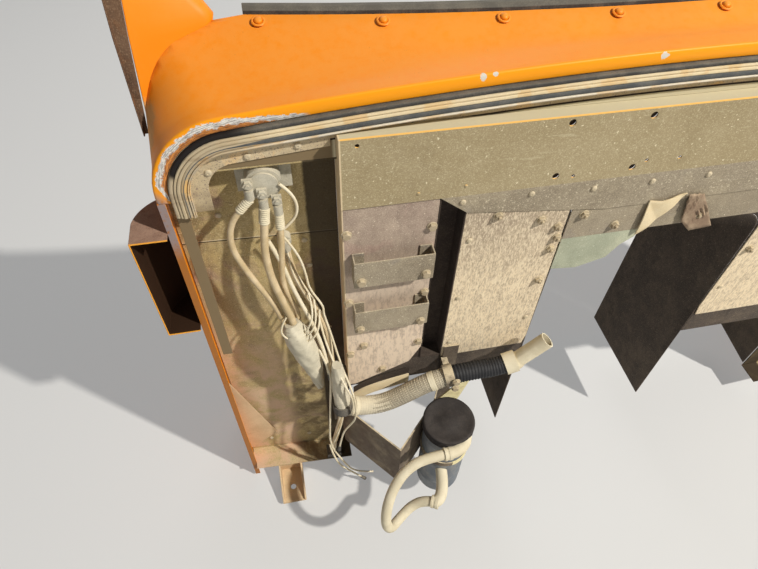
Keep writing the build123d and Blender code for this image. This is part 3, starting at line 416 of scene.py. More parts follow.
for key, name, look, extra in (
        ("orange", "cabPaint", orange, rubbedPaint), ("olive", "bandPaint", olive, edgedPaint),
        ("step", "stepPaint", stepBrown, stepDust), ("textured", "texturedPaint", textured, coverDust),
        ("bareTan", "bareTanPaint", bareTan, legShade), ("plenum", "plenumPaint", bareTan, plenumPaint),
        ("weathered", "weatheredPaint", weathered, outerPaint),
        ("scoopBrown", "scoopBrownPaint", scoopBrown, scoopPaint),
        ("bracketSteel", "bracketSteelPaint", bracketSteel, leafPaint)):
    mats[key] = paint(name, look, extra)
plainPaints = {
    "umber": paintLook(
        (146, 134, 114), (158, 146, 126), (110, 98, 82), (196, 182, 154), (216, 204, 178), stain=srgb(144, 136, 128),
        stainAmount=0.5, broad=5.0, grimeAmount=0.5, dustUp=0.6, speckAmount=0.8, speckLow=0.68, speckScale=200.0,
        grit=0.5),
    "peach": paintLook((204, 174, 136), (218, 188, 150), (150, 118, 84), (226, 204, 164), (140, 108, 82), broad=7.0,
                       dustAmount=0.4, dustUp=0.4, scratchAmount=0.15),
    # near-black paint for places seen only in shade: the slot channels, the discs and sheets behind holes and seams,
    # and the strip above the toe flange; painted shade
    "soot": paintLook((58, 50, 46), (70, 61, 55), (38, 33, 31), (104, 92, 80), (130, 116, 100), rough=0.8,
                      grimeAmount=0.5, dustAmount=0.25, dustUp=0.35, speckAmount=0.3, speckLow=0.72,
                      scratchAmount=0.0, gloss=0.1),
    # dark paint for the toe boards and tunnel: painted shade, with some grime
    "shaded": paintLook((76, 68, 62), (88, 78, 70), (54, 47, 43), (128, 114, 98), (176, 162, 138), rough=0.72,
                        grimeAmount=0.5, dustUp=0.45, speckLow=0.71, scratchAmount=0.0, gloss=0.15),
    # dark brown for the drip rails: grime and painted shade of their channel
    "railBrown": paintLook(
        (82, 62, 48), (104, 78, 58), (48, 37, 30), (150, 124, 100), (176, 148, 118), stain=srgb(176, 112, 52),
        stainAmount=0.4, stainScale=9.0, rough=0.65, grimeAmount=0.5, dustAmount=0.25, dustUp=0.3,
        scratchAmount=0.2, grit=0.3),
    "castGrey": paintLook((176, 170, 152), (190, 184, 166), (128, 118, 102), (214, 204, 180), (222, 214, 194),
                          rough=0.62, broad=22.0, grimeAmount=0.5, dustAmount=0.4, dustUp=0.4, scratchAmount=0.0,
                          bump=0.3, gloss=0.25),
    # pale green for the sheet that stands in for the sunlit patch in the tunnel's mouth
    "liningGreen": paintLook((160, 164, 142), (178, 182, 158), (128, 130, 112), (206, 204, 176), (222, 220, 196),
                             broad=12.0, dustAmount=0.4, dustUp=0.3, speckAmount=0.6, speckLow=0.68,
                             speckScale=200.0, grit=0.4),
    "washer": paintLook((188, 174, 146), (204, 190, 162), (118, 98, 76), (214, 200, 170), (130, 106, 80),
                        rough=0.55, broad=40.0, dustAmount=0.3, metallic=0.15, scratchAmount=0.0, gloss=0.3),
    "boltHead": paintLook((164, 148, 122), (184, 168, 140), (104, 86, 66), (214, 198, 164), (112, 88, 66),
                          rough=0.55, broad=40.0, dustAmount=0.4, metallic=0.1, scratchAmount=0.0, gloss=0.3),
}
for key, look in plainPaints.items():
    mats[key] = paint(key + "Paint", look)


# rubber, jackets and tape
def softLook(base, faded, dust, rough, dustAmount=0.3, dustUp=0.3, bump=0.15):
    looks = {"rough": rough, "dustAmount": dustAmount, "dustUp": dustUp, "bump": bump}
    return {**shades(base=base, faded=faded, dust=dust), **looks}


def softStuff(name, look, extra=None):
    # Rubber, jackets, tape and moulded plastic under fine road dust.
    s = Shade(name)
    fine = s.noise(420.0, 4.0, 0.6)
    broad = s.noise(26.0, 5.0, 0.6, 0.3)
    colour = s.mix(broad.step(0.38, 0.64), look["base"], look["faded"])
    lying = s.normal(2).step(0.0, 0.95) * look["dustUp"]
    dusty = ((broad * 0.5 + fine * 0.5).step(0.42, 0.66) * look["dustAmount"] + lying).clip()
    colour = s.mix(dusty, colour, look["dust"])
    if extra:
        colour = extra(s, colour)
    s.set(Base_Color=colour, Roughness=(dusty * 0.2 + fine * 0.1 + look["rough"]).clip())
    return s.set(Normal=s.bump(fine + broad * 0.6, look["bump"], 0.0008), Specular_IOR_Level=0.25)


gutter = shades(grey=(182, 166, 138), yellow=(216, 176, 112), fray=(150, 130, 104), gap=(24, 19, 17))


def bareGutter(s, inset):
    # Dusty channel with yellow patches, which shows where the rubber is gone.
    patch = s.noise(26.0, 5.0, 0.6, 0.6)
    low = (inset + (patch - 0.5) * 30.0).step(49.0, 53.0)
    colour = s.mix(low * patch.step(0.4, 0.6), gutter["grey"], gutter["yellow"])
    frayed = s.noise(1.0, 4.0, 0.6, 0.0, at=s.stretch((9.0, 9.0, 60.0))).step(0.55, 0.68)
    return s.mix(frayed * 0.6, colour, gutter["fray"])


def lipSeal(s, colour):
    # Rubber on the crest, painted shadow in black between lip and rail round the corner, and bare channel down its
    # side.
    inset, along = archPlace(s)
    colour = s.mix(1 - along.step(0.40, 0.47), colour, gutter["gap"])
    return s.mix(1 - along.step(0.215, 0.235), colour, bareGutter(s, inset))


def innerSeal(s, colour):
    # The dark strip narrows to a fine line round the corner.
    inset, along = archPlace(s)
    width = along.step(0.36, 0.52) * 5.4 + 0.55
    return s.mix((inset - 51.0).math("ABSOLUTE").step(width, width + 0.5), colour, bareGutter(s, inset))


def beadPatches(s, colour):
    inset, along = archPlace(s)
    colour = s.mix(s.noise(17.0, 5.0, 0.6, 0.6).step(0.5, 0.6) * 0.5, colour, gutter["yellow"])
    return s.mix((1 - along.step(0.38, 0.5)) * 0.8, colour, bareGutter(s, inset))


softLooks = {
    # base, faded and dust colours, roughness, then dust and bump where they aren't the usual
    "rubber": softLook((58, 57, 56), (68, 66, 64), (140, 132, 116), 0.66),
    "lipRubber": softLook((58, 57, 56), (68, 66, 64), (140, 132, 116), 0.66),
    "innerRubber": softLook((74, 78, 80), (84, 87, 88), (140, 134, 120), 0.7, dustUp=0.2),
    "stripTan": softLook((224, 204, 164), (236, 218, 178), (200, 184, 158), 0.75, 0.4),
    "railTan": softLook((224, 204, 164), (236, 218, 178), (200, 184, 158), 0.75, 0.4),
    "railPale": softLook((224, 214, 194), (236, 228, 210), (204, 190, 166), 0.75, 0.4),
    "jacket": softLook((190, 168, 128), (206, 184, 146), (222, 206, 176), 0.62, 0.35, bump=0.25),
    "thinWire": softLook((218, 204, 172), (230, 218, 190), (236, 228, 206), 0.6),
    "tape": softLook((190, 182, 160), (204, 196, 174), (222, 213, 190), 0.7, 0.4, bump=0.3),
    "moulded": softLook((70, 68, 66), (84, 81, 78), (150, 140, 120), 0.6),
    "blackLoom": softLook((22, 23, 27), (30, 31, 35), (96, 93, 88), 0.55, 0.08, 0.1),
    "braid": softLook((190, 180, 158), (202, 192, 168), (224, 212, 184), 0.7, dustUp=0.35),
    "braidGap": softLook((88, 78, 68), (104, 94, 82), (190, 176, 150), 0.8, 0.25, 0.25),
    "hoseCream": softLook((206, 194, 164), (218, 207, 178), (230, 220, 194), 0.6, 0.35, 0.4),
    "blueGrey": softLook((100, 108, 118), (114, 120, 126), (176, 168, 150), 0.5),
    "capRubber": softLook((34, 31, 32), (42, 39, 40), (108, 99, 90), 0.66, 0.18, 0.14),
    "fibre": softLook((226, 206, 166), (236, 220, 184), (176, 150, 112), 0.9, bump=0.8),
    "fibreBrown": softLook((138, 116, 96), (156, 134, 112), (190, 170, 142), 0.9, 0.4, bump=0.8),
}
sealPaints = {"lipRubber": lipSeal, "innerRubber": innerSeal, "railTan": beadPatches, "railPale": beadPatches}
for key, look in softLooks.items():
    mats[key] = softStuff(key + "Stuff", look, sealPaints.get(key))
print("materials made")


# mesh helpers
def shown(name, mesh, material, node=None, smooth=35, ride="cab_front", slot=None):
    # Links a finished mesh, gives it a material and lets it stand for a CAD node.
    piece = bpy.data.objects.new(name, mesh)
    bpy.context.scene.collection.objects.link(piece)
    mesh.materials.clear()
    mesh.materials.append(material)
    mesh.polygons.foreach_set("use_smooth", [True] * len(mesh.polygons))
    mesh.set_sharp_from_angle(angle=math.radians(smooth))
    if node:
        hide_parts(*([node] if isinstance(node, str) else node))
    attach(piece, ride)
    return piece


class Heap:
    # One mesh gathered from many small pieces, in row-frame metres.
    def __init__(self):
        self.points = []
        self.faces = []
        self.tints = []

    def add(self, shape, place=Matrix(), tint=0):
        points, faces = shape
        start = len(self.points)
        self.points += [place @ Vector(p) for p in points]
        self.faces += [[start + i for i in face] for face in faces]
        self.tints += [tint] * len(faces)

    def finish(self, name, materials, node=None, smooth=35, slot=None):
        mesh = bpy.data.meshes.new(name)
        mesh.from_pydata(self.points, [], self.faces)
        mesh.update()
        piece = shown(name, mesh, mats[materials[0]], node, smooth, slot=slot)
        for extra in materials[1:]:
            mesh.materials.append(mats[extra])
        mesh.polygons.foreach_set("material_index", self.tints)
        return piece


def wall(x, y, z):
    # Firewall millimetres to row-frame metres.
    return Vector((x / 1000, y / 1000 + shift, z / 1000))


def around(rows, count):
    # Neighbouring points a and b of each ring, row by row.
    for row in range(rows - 1):
        for k in range(count):
            yield row * count + k, row * count + (k + 1) % count


def thicken(piece, name, thickness, offset):
    solid = piece.modifiers.new(name, "SOLIDIFY")
    solid.thickness = thickness
    solid.offset = offset


def lathe(profile, steps=20):
    # Turns (radius, height) pairs in millimetres about +Z; a zero radius closes to one point.
    points = []
    rows = []
    for radius, height in profile:
        radius, height = radius / 1000, height / 1000
        if radius <= 0:
            rows.append([len(points)])
            points.append((0, 0, height))
        else:
            rows.append(list(range(len(points), len(points) + steps)))
            turns = [math.tau * k / steps for k in range(steps)]
            points += [(radius * math.cos(turn), radius * math.sin(turn), height) for turn in turns]
    faces = []
    for low, high in zip(rows, rows[1:]):
        for k in range(steps):
            ring = [low[k % len(low)], low[(k + 1) % len(low)], high[(k + 1) % len(high)], high[k % len(high)]]
            face = list(dict.fromkeys(ring))
            if len(face) > 2:
                faces.append(face)
    return points, faces


def sheet(loop, front, rear):
    # A flat plate with its outline in x and z, between two depths in firewall millimetres.
    count = len(loop)
    points = [wall(x, y, z) for y in (front, rear) for x, z in loop]
    faces = [list(range(count)), list(range(count, 2 * count))[::-1]]
    return points, faces + [[k, k + count, (k + 1) % count + count, (k + 1) % count] for k in range(count)]


def route(points):
    return [wall(*point) for point in points]


def smoothPath(points):
    # Points along the route's NURBS spline.
    data = bpy.data.curves.new("line", "CURVE")
    data.dimensions = "3D"
    spline = data.splines.new("NURBS")
    spline.points.add(len(points) - 1)
    for control, point in zip(spline.points, points):
        control.co = (*point, 1.0)
    spline.order_u = 3
    spline.use_endpoint_u = True
    line = bpy.data.objects.new("line", data)
    mesh = bpy.data.meshes.new_from_object(line)
    path = [vert.co.copy() for vert in mesh.vertices]
    bpy.data.meshes.remove(mesh)
    bpy.data.curves.remove(data)
    return path


def resample(path, pitch):
    lengths = [0.0]
    for a, b in zip(path, path[1:]):
        lengths.append(lengths[-1] + (b - a).length)
    count = max(2, round(lengths[-1] / pitch))
    result = []
    index = 0
    for k in range(count + 1):
        want = lengths[-1] * k / count
        while index < len(path) - 2 and lengths[index + 1] < want:
            index += 1
        span = lengths[index + 1] - lengths[index]
        t = (want - lengths[index]) / span if span > 1e-9 else 0.0
        result.append(path[index].lerp(path[index + 1], min(1.0, t)))
    return result


def laid(points, pitch):
    return resample(smoothPath(route(points)), pitch)


def carried(path, start=None):
    # Each point with the direction ahead, a side that doesn't twist, and the distance run.
    side = None
    run = 0.0
    for k, point in enumerate(path):
        ahead = (path[min(k + 1, len(path) - 1)] - path[max(k - 1, 0)]).normalized()
        if side is None:
            across = start or ((0, 0, 1) if abs(ahead.z) < 0.9 else (1, 0, 0))
            side = ahead.cross(Vector(across)).normalized()
        else:
            side = (side - ahead * side.dot(ahead)).normalized()
            run += (point - path[k - 1]).length
        yield point, ahead, side, run


def swept(path, radius, steps=16):
    # A tube along close-set points; its radius may follow the distance run and the angle.
    points = []
    for point, ahead, side, run in carried(path):
        rise = ahead.cross(side)
        for k in range(steps):
            angle = math.tau * k / steps
            reach = radius(run, angle) if callable(radius) else radius
            points.append(point + side * math.cos(angle) * reach + rise * math.sin(angle) * reach)
    faces = [[a, a + steps, b + steps, b] for a, b in around(len(path), steps)]
    return points, faces + [list(range(steps)), [len(points) - 1 - k for k in range(steps)]]


def tube(points, radius, steps=14, pitch=0.006):
    return swept(laid(points, pitch), radius, steps)


def ringed(radius, height, pitch):
    return lambda run, angle: radius + height * math.sin(math.tau * run / pitch)


# cowl skin
cowl = {
    "half": 1052.0, "end": 860.0, "crownTop": 1385.0, "crownRadius": 9000.0, "lip": 22.0, "shelf": 62.0,
    "sill": 1400.0, "sillCentre": 116.0, "sillSweep": 74.0, "roll": 32.0, "foot": 1180.0, "shoulder": 145.0,
    "sideSteps": 5, "arcSteps": 14, "across": 36, "thickness": 0.0022,
}
lipRows = ((1.0, 24.0), (0.0, 22.5), (0.0, 12.0), (0.0, 4.0), (0.8, 1.6), (2.6, 0.4), (5.5, 0.0))  # depth, inset


def crown(x):
    return cowl["crownTop"] - cowl["crownRadius"] + math.sqrt(cowl["crownRadius"] ** 2 - x * x)


def sillLine(x):
    return cowl["sillCentre"] + cowl["sillSweep"] * min(1.0, abs(x) / cowl["end"]) ** 2


def shoulderRow(top, radius, inset):
    # Side, shoulder arc and run to the panel's end, as x and z on the right-hand side.
    drop = crown(cowl["end"]) - crown(cowl["half"])
    corner = Vector((-cowl["half"] + inset, top - drop - inset))
    inner = Vector((-cowl["end"], top - inset))
    along = (inner - corner).normalized()
    down = Vector((0, -1))
    angle = along.angle(down)
    radius = max(radius - inset, 5)
    reach = radius / math.tan(angle / 2)
    centre = corner + (along + down).normalized() * radius / math.sin(angle / 2)
    start, end = corner + down * reach, corner + along * reach
    steps, arcSteps = cowl["sideSteps"], cowl["arcSteps"]
    row = [(start.x, cowl["foot"] + (start.y - cowl["foot"]) * k / steps) for k in range(steps)]
    first = math.atan2(start.y - centre.y, start.x - centre.x) % math.tau
    last = math.atan2(end.y - centre.y, end.x - centre.x)
    for k in range(arcSteps + 1):
        turn = first + (last - first) * k / arcSteps
        row.append((centre.x + radius * math.cos(turn), centre.y + radius * math.sin(turn)))
    for k in range(1, steps + 1):
        row.append((end.x + (inner.x - end.x) * k / steps, end.y + (inner.y - end.y) * k / steps))
    return row


def skinStations(top):
    # Depth on the lip, share of the way to the sill and over it, height, shoulder radius, inset.
    lip, shoulder = cowl["lip"], cowl["shoulder"]
    climb = cowl["sill"] - 8 - top
    made = [(lip + depth, None, top, shoulder, inset) for depth, inset in lipRows]
    made += [(lip + 5.5 + 34.5 * k / 3, None, top + k / 3, shoulder - 5 * k / 3, 0.0) for k in range(1, 4)]
    for share in [k / 8 for k in range(1, 9)]:
        height = top + 1 + climb * share - 5.0 * math.sin(math.pi * share)
        made.append((None, share, height, 140 - 50 * share, 0.0))
    made += [(None, 1 + k / 4, cowl["sill"] - 7 + 11 * k / 4, 90 - 20 * k / 4, 0.0) for k in range(1, 5)]
    return made + [(None, 2, cowl["sill"] - 8, 70.0, 0.0)]


def skinPlace(x, top, depth, share, height, inset):
    # Depth and height at x: the lip and shelf, then the slope, then the sill's roll.
    if share is None:
        return depth, crown(x) + (height - top) - inset
    if share > 1:
        return sillLine(x) + cowl["roll"] * (share - 1), height
    front = crown(x) + 1
    rise = (cowl["sill"] - 7 - front) * share - 5.0 * math.sin(math.pi * share)
    return cowl["shelf"] + (sillLine(x) - cowl["shelf"]) * share, front + rise


def skinRows():
    # Each row runs from the right side's foot over the shoulders to the left side's foot.
    end, across = cowl["end"], cowl["across"]
    top = crown(end)
    rows = []
    for depth, share, height, radius, inset in skinStations(top):
        sideDepth = skinPlace(end, top, depth, share, height, inset)[0]
        side = [(x, sideDepth, z) for x, z in shoulderRow(height, radius, inset)]
        middle = [-end + 2 * end * k / across for k in range(1, across)]
        row = side + [(x, *skinPlace(x, top, depth, share, height, inset)) for x in middle]
        rows.append(row + [(-x, y, z) for x, y, z in reversed(side)])
    return rows


pillarRows = (
    # height, then outer front, inner front, inner, inner rear, outer rear in plan
    (1180.0, ((-1052, 112), (-985, 150), (-975, 222), (-965, 330), (-1052, 330))),
    (1404.0, ((-1044, 176), (-900, 222), (-925, 275), (-945, 330), (-1050, 330))),
    (1480.0, ((-1038, 197), (-965, 240), (-958, 285), (-955, 330), (-1044, 330))),
)
pillar = {"rounding": (3.0, 26.0, 8.0, 4.0, 8.0), "levels": 24, "cornerSteps": 5, "thickness": 0.0025}


def pillarPlan(height):
    for (low, first), (high, second) in zip(pillarRows, pillarRows[1:]):
        if height <= high:
            t = max(0.0, (height - low) / (high - low))
            return [(a[0] + (b[0] - a[0]) * t, a[1] + (b[1] - a[1]) * t) for a, b in zip(first, second)]
    return list(pillarRows[-1][1])


def inPillar(x, y, z):
    plan = pillarPlan(z)
    x = -abs(x)
    inside = False
    for (ax, ay), (bx, by) in zip(plan, plan[1:] + plan[:1]):
        if (ay > y) != (by > y) and x < ax + (bx - ax) * (y - ay) / (by - ay):
            inside = not inside
    return inside


def skin(name, points, faces, node, smooth, inner, thickness):
    # Painted sheet whose faces look away from an inner point.
    mesh = bpy.data.meshes.new(name)
    mesh.from_pydata(points, [], faces)
    work = bmesh.new()
    work.from_mesh(mesh)
    bmesh.ops.delete(work, geom=[v for v in work.verts if not v.link_faces], context="VERTS")
    bmesh.ops.recalc_face_normals(work, faces=work.faces)
    if sum(f.normal.dot(f.calc_center_median() - Vector(inner)) for f in work.faces) < 0:
        bmesh.ops.reverse_faces(work, faces=work.faces)
    work.to_mesh(mesh)
    work.free()
    thicken(shown(name, mesh, mats["orange"], node, smooth, slot="cowl_paint"), "sheet", thickness, -1)


def cowlSkin():
    rows = skinRows()
    width = len(rows[0])
    points = [wall(*place) for row in rows for place in row]
    faces = []
    for j in range(len(rows) - 1):
        for k in range(width - 1):
            ring = [j * width + k, j * width + k + 1, (j + 1) * width + k + 1, (j + 1) * width + k]
            middle = sum((points[i] for i in ring), Vector()) / 4 * 1000
            if not inPillar(middle.x, middle.y - shift * 1000 - 6, middle.z):
                faces.append(ring[::-1])
    covered = ["cowl_panel", "cowl_corner_left", "cowl_corner_right"]
    skin("cowlSkin", points, faces, covered, 60, (0, 0.12, 1.0), cowl["thickness"])


def pillarFoot(name, side):
    # Rounded tube of the windshield pillar with its folded glazing edge.
    low, high = pillarRows[0][0], pillarRows[-1][0]
    points = []
    for level in [low + (high - low) * k / pillar["levels"] for k in range(pillar["levels"] + 1)]:
        plan = pillarPlan(level)
        for k, place in enumerate(plan):
            corner, before, after = Vector(place), Vector(plan[k - 1]), Vector(plan[(k + 1) % len(plan)])
            start = corner + (before - corner).normalized() * pillar["rounding"][k]
            end = corner + (after - corner).normalized() * pillar["rounding"][k]
            for t in [step / pillar["cornerSteps"] for step in range(pillar["cornerSteps"] + 1)]:
                p = start * (1 - t) ** 2 + corner * 2 * t * (1 - t) + end * t * t
                points.append(wall(p.x * side, p.y, level))
    count = len(points) // (pillar["levels"] + 1)
    faces = [[a, b, b + count, a + count][::side] for a, b in around(pillar["levels"] + 1, count)]
    inner = (-0.99 * side, 0.28, 1.3)
    skin("pillarSkin_" + name, points, faces, "pillar_foot_" + name, 50, inner, pillar["thickness"])


cowlSkin()
pillarFoot("right", 1)
pillarFoot("left", -1)
print("cowl skin made")

# panels
dressing = {
    # each CAD node that keeps its own form, or the pair's common name: paint, and edge where it isn't the usual
    # the slot channels take the near-black paint and the toe boards and tunnel the dark shaded paint, as painted
    # shade
    "air_scoop": ("scoopBrown", 0.0012), "cab_mount": ("peach",), "conduit_fitting": ("hoseCream", 0.002),
    "cover_panel": ("textured",), "cover_strip": ("umber",), "drip_rails": ("railBrown",),
    "firewall_box": ("olive",), "gussets": ("peach",), "harness_clip": ("moulded",),
    "harness_plug": ("moulded", 0.002), "hinge_pillar": ("orange", 0.0014), "outer_panel": ("weathered",),
    "plenum_panel": ("plenum",), "seal_rail": ("bareTan",), "side_skin": ("orange",), "slot_channels": ("soot",),
    "standoff_bracket": ("bracketSteel",), "step_panel": ("step",), "strap_brackets": ("umber",),
    "terminal_block": ("castGrey", 0.0008), "toe_board": ("shaded",), "tunnel": ("shaded",),
    "tunnel_plate": ("umber",), "vent_door": ("orange",), "windshield_gasket": ("rubber",),
}


def dress(node, material, width=0.0009):
    # The CAD piece with rounded edges and its paint.
    mesh = nodes[node].data.copy()
    work = bmesh.new()
    work.from_mesh(mesh)
    bmesh.ops.remove_doubles(work, verts=work.verts, dist=0.00002)
    bmesh.ops.dissolve_limit(work, angle_limit=math.radians(1.0), verts=work.verts, edges=work.edges)
    work.to_mesh(mesh)
    work.free()
    body = node.replace("vent", "inlet") if node.startswith("vent_door") else "cab_front"
    piece = shown(node + "Dressed", mesh, mats[material], node, 35, body, slots[node])
    bevel = piece.modifiers.new("edge", "BEVEL")
    bevel.width = width
    bevel.segments = 2
    bevel.limit_method = "ANGLE"
    bevel.angle_limit = math.radians(40)
    bevel.harden_normals = True


for node in sorted(nodes):
    stem = node.removesuffix("_left").removesuffix("_right")
    if stem in dressing:
        dress(node, *dressing[stem])
print("nodes dressed")

# fasteners: lathed parts, each with its profile, sides and material
hexBolt = [(lathe([(0, -0.4), (10.5, -0.4), (11, 0.3), (11, 1.5), (10.4, 2.0), (6, 2.0)], 20), 0),
           (lathe([(9.2, 1.9), (9.2, 7.0), (8.0, 8.2), (0, 8.3)], 6), 1)]
studBolt = hexBolt + [(lathe([(4.0, 8.0), (4.0, 12.5), (3.2, 13.4), (0, 13.4)], 12), 1)]
panScrew = [(lathe([(6.6, -0.3), (6.8, 0.6), (6.2, 2.0), (4.6, 3.2), (2.4, 3.7), (1.6, 3.7), (1.3, 2.9), (0, 2.8)],
                   16), 0)]
domeBolt = [(lathe([(12.0, -0.4), (12.2, 0.6), (11.2, 1.6), (9.4, 1.9), (8.4, 1.4), (8.2, 0.8)], 24), 0),
            (lathe([(7.4, 0.4), (7.6, 2.2), (6.6, 4.2), (4.4, 5.6), (2.0, 6.2), (0, 6.3)], 20), 0)]
rivet = [(lathe([(3.8, -0.2), (3.6, 1.0), (2.6, 1.9), (0, 2.3)], 12), 0)]


def facing(place, normal, spin=0.0):
    # Puts a lathe's +Z along a normal.
    turn = Vector(normal).to_track_quat("Z", "Y") @ Quaternion((0, 0, 1), spin)
    return Matrix.Translation(wall(*place)) @ turn.to_matrix().to_4x4()


def fasten(name, kind, slot, rows, mirrored=True, materials=("washer", "boltHead"), normal=(0, -1, 0)):
    # rows hold x, y, z in firewall millimetres
    heap = Heap()
    spin = random.Random(name)
    for x, y, z in rows:
        for side in ((1, -1) if mirrored and abs(x) > 20 else (1,)):
            matrix = facing((x * side, y, z), normal, spin.uniform(0, 1))
            for shape, tint in kind:
                heap.add(shape, matrix, tint)
    heap.finish(name, materials if kind[-1][1] else materials[:1], smooth=40, slot=slot)


def onFace(*rows):
    return [(x, 0, z) for x, z in rows]


for setting in (
        ("stepBolts", hexBolt, "firewall_paint",
         onFace((-727, 1071), (-555, 1066), (-727, 862), (-555, 864), (-693, 687), (-555, 668), (-727, 658),
                (-644, 567))),
        ("strapBolts", hexBolt, "cover_paint",
         [(-704, -31, 963), (-567, -31, 962), (-707, -31, 799), (-567, -31, 799)], False),
        ("coverBolts", studBolt, "cover_paint",
         onFace((-418, 1072), (-320, 1044), (-276, 1018), (-270, 985), (-276, 951), (-278, 847))),
        ("coverScrews", panScrew, "cover_paint", onFace((-470, 1010), (-470, 820), (-470, 640), (-276, 700))),
        ("plateBolts", studBolt, "firewall_paint", onFace((-224, 1044), (-140, 1000), (60, 1000)), False),
        ("stripScrews", panScrew, "firewall_paint",
         [(x, -3, 1122 - 6 * (abs(x) < 300)) for x in (-500, -360, -227, -99, 28, 155, 290, 420, 520)], False),
        ("outerScrews", panScrew, "firewall_paint",
         [(-963, 70.3, 1098), (-1023, 72.9, 1012), (-806, 63.2, 1010), (-801, 62.9, 933), (-1030, 73.3, 820),
          (-1030, 73.3, 660), (-770, 61.5, 700), (-770, 61.5, 540), (-860, 65.6, 140), (-980, 71.0, 140)]),
        ("shoulderScrews", panScrew, "seal_steel",
         [(-999, 25.3, 1190), (-954, 25.3, 1234), (-885, 25.3, 1259), (-800, 25.3, 1270)]),
        ("clampBolts", hexBolt, "firewall_paint", [(-468, -84, 582), (-468, -84, 552)], False)):
    fasten(*setting)

# the band's patch, and dark discs behind its holes: painted shade seen through them
patch = Heap()
patch.add(sheet(((-598, 1165), (-596, 1148), (-491, 1154), (-493, 1169)), -2.4, 0.4))
patch.finish("bandPatch", ["olive"], smooth=30, slot="band_paint")
fasten("patchRivets", rivet, "band_paint", [(-590, -2.4, 1156.5), (-499, -2.4, 1161.5)], False, ["olive"])
holes = ((-320, 1278, 7), (-162, 1276, 7), (-320, 1160, 7), (-161, 1160, 7), (-283, 1155, 4), (-135, 1173, 4),
         (-63, 1171, 4), (-704, 1277, 4))
holeShadeDiscs = Heap()
for x, z, r in holes:
    disc = lathe([(0, -0.4), (r + 2.5, -0.4), (r + 2.5, 0.4), (0, 0.4)], 16)
    holeShadeDiscs.add(disc, facing((x, 3.6, z), (0, -1, 0)))
holeShadeDiscs.finish("holeShadeDiscs", ["soot"], smooth=30, slot="band_paint")

# dark sheets behind the seams beside the tunnel's mouth and under the slots, painted shade where the openings would
# show through, and a pale sheet in the mouth cut to a sunlit patch, painted light
mouth = {"cornerX": 194.7, "cornerZ": 914.7, "radius": 60.4}
arc = [(mouth["cornerX"] + mouth["radius"] * math.sin(math.radians(a)),
        mouth["cornerZ"] + mouth["radius"] * math.cos(math.radians(a))) for a in range(90, -1, -15)]
seamShadeSheets = (
    ([(194.7, 990), (254.9, 990), (254.9, 1130), (266, 1130), (266, 600), (255.1, 600)] + arc, 3.1, 3.9),
    ([(487.3, 588.3), (487.3, 589.7), (544.7, 589.7), (544.7, 588.3)], 0.2, 41.8),
    ([(545, 588.3), (545, 660), (578, 660), (578, 588.3)], 3.1, 3.9),
)
shadeSheets = Heap()
for loop, front, rear in seamShadeSheets:
    shadeSheets.add(sheet(loop, front, rear))
    shadeSheets.add(sheet([(-x, z) for x, z in loop[::-1]], front, rear))
shadeSheets.finish("seamShadeSheets", ["soot"], smooth=30, slot="firewall_paint")
# painted light: a pale sheet cut to the sunlit part of the tunnel's wall, its lower edge along the shadow's edge
litPatch = Heap()
litPatch.add(sheet([(-254.6, 974.6), (-68, 974.6), (-73, 952), (-101, 930), (-124, 893), (-193, 871),
                  (-254.6, 878)], 0.4, 2.6))
litPatch.finish("mouthLitPatch", ["liningGreen"], smooth=30, slot="firewall_paint")
sillBolts = {"pitch": 209.0, "behind": 14, "height": 1401.0, "lean": (0, -0.32, 0.95)}
sillRows = [(k * sillBolts["pitch"], sillLine(k * sillBolts["pitch"]) + sillBolts["behind"], sillBolts["height"])
            for k in range(-4, 5)]
fasten("sillBolts", domeBolt, "cowl_paint", sillRows, False, ["orange"], sillBolts["lean"])
print("fasteners made")

# seals
arch = {"foot": 1150.0, "legSteps": 4, "arcSteps": 16, "steps": 60}


def archRow(inset):
    # The crowned arch drawn in by an inset, as x and z from foot to foot.
    half, radius = cowl["half"] - inset, cowl["shoulder"] - inset
    big = cowl["crownRadius"]
    centreZ = cowl["crownTop"] - inset - big
    cx = -half + radius
    cz = centreZ + math.sqrt((big - radius) ** 2 - cx * cx)
    first, last = math.pi, math.atan2(cz - centreZ, cx)
    row = [(-half, arch["foot"] + (cz - arch["foot"]) * k / arch["legSteps"]) for k in range(arch["legSteps"])]
    for turn in [first + (last - first) * k / arch["arcSteps"] for k in range(arch["arcSteps"] + 1)]:
        row.append((cx + radius * math.cos(turn), cz + radius * math.sin(turn)))
    leg = list(row)
    start = row[-1][0]
    for x in [start - 2 * start * k / arch["steps"] for k in range(1, arch["steps"])]:
        row.append((x, centreZ + math.sqrt(big * big - x * x)))
    return row + [(-x, z) for x, z in reversed(leg)]


def archSweep(profile, wobble, seed):
    # profile is a closed loop of inset and depth; the loop runs along the arch.
    loops = [archRow(inset) for inset, depth in profile]
    count, width = len(loops[0]), len(profile)
    noise = random.Random(seed)
    drift = [noise.uniform(-1, 1) for k in range(count)]
    points = []
    for k in range(count):
        ease = (drift[k] + drift[max(k - 1, 0)] + drift[min(k + 1, count - 1)]) / 3 * wobble
        for (inset, depth), loop in zip(profile, loops):
            points.append(wall(loop[k][0], depth + ease, loop[k][1] + ease * 0.6))
    faces = [[a, b, b + width, a + width] for a, b in around(count, width)]
    return points, faces + [list(range(width))[::-1], [(count - 1) * width + j for j in range(width)]]


def rounded(low, high, front, rear, bulge):
    # Section of a rubber strip: flat behind, rounded in front.
    middle, half = (low + high) / 2, (high - low) / 2
    turns = [math.pi * (1 - k / 8) for k in range(9)]
    return [(high, rear), (low, rear)] + [
        (middle + half * math.cos(turn), front + bulge * (1 - math.sin(turn))) for turn in turns]


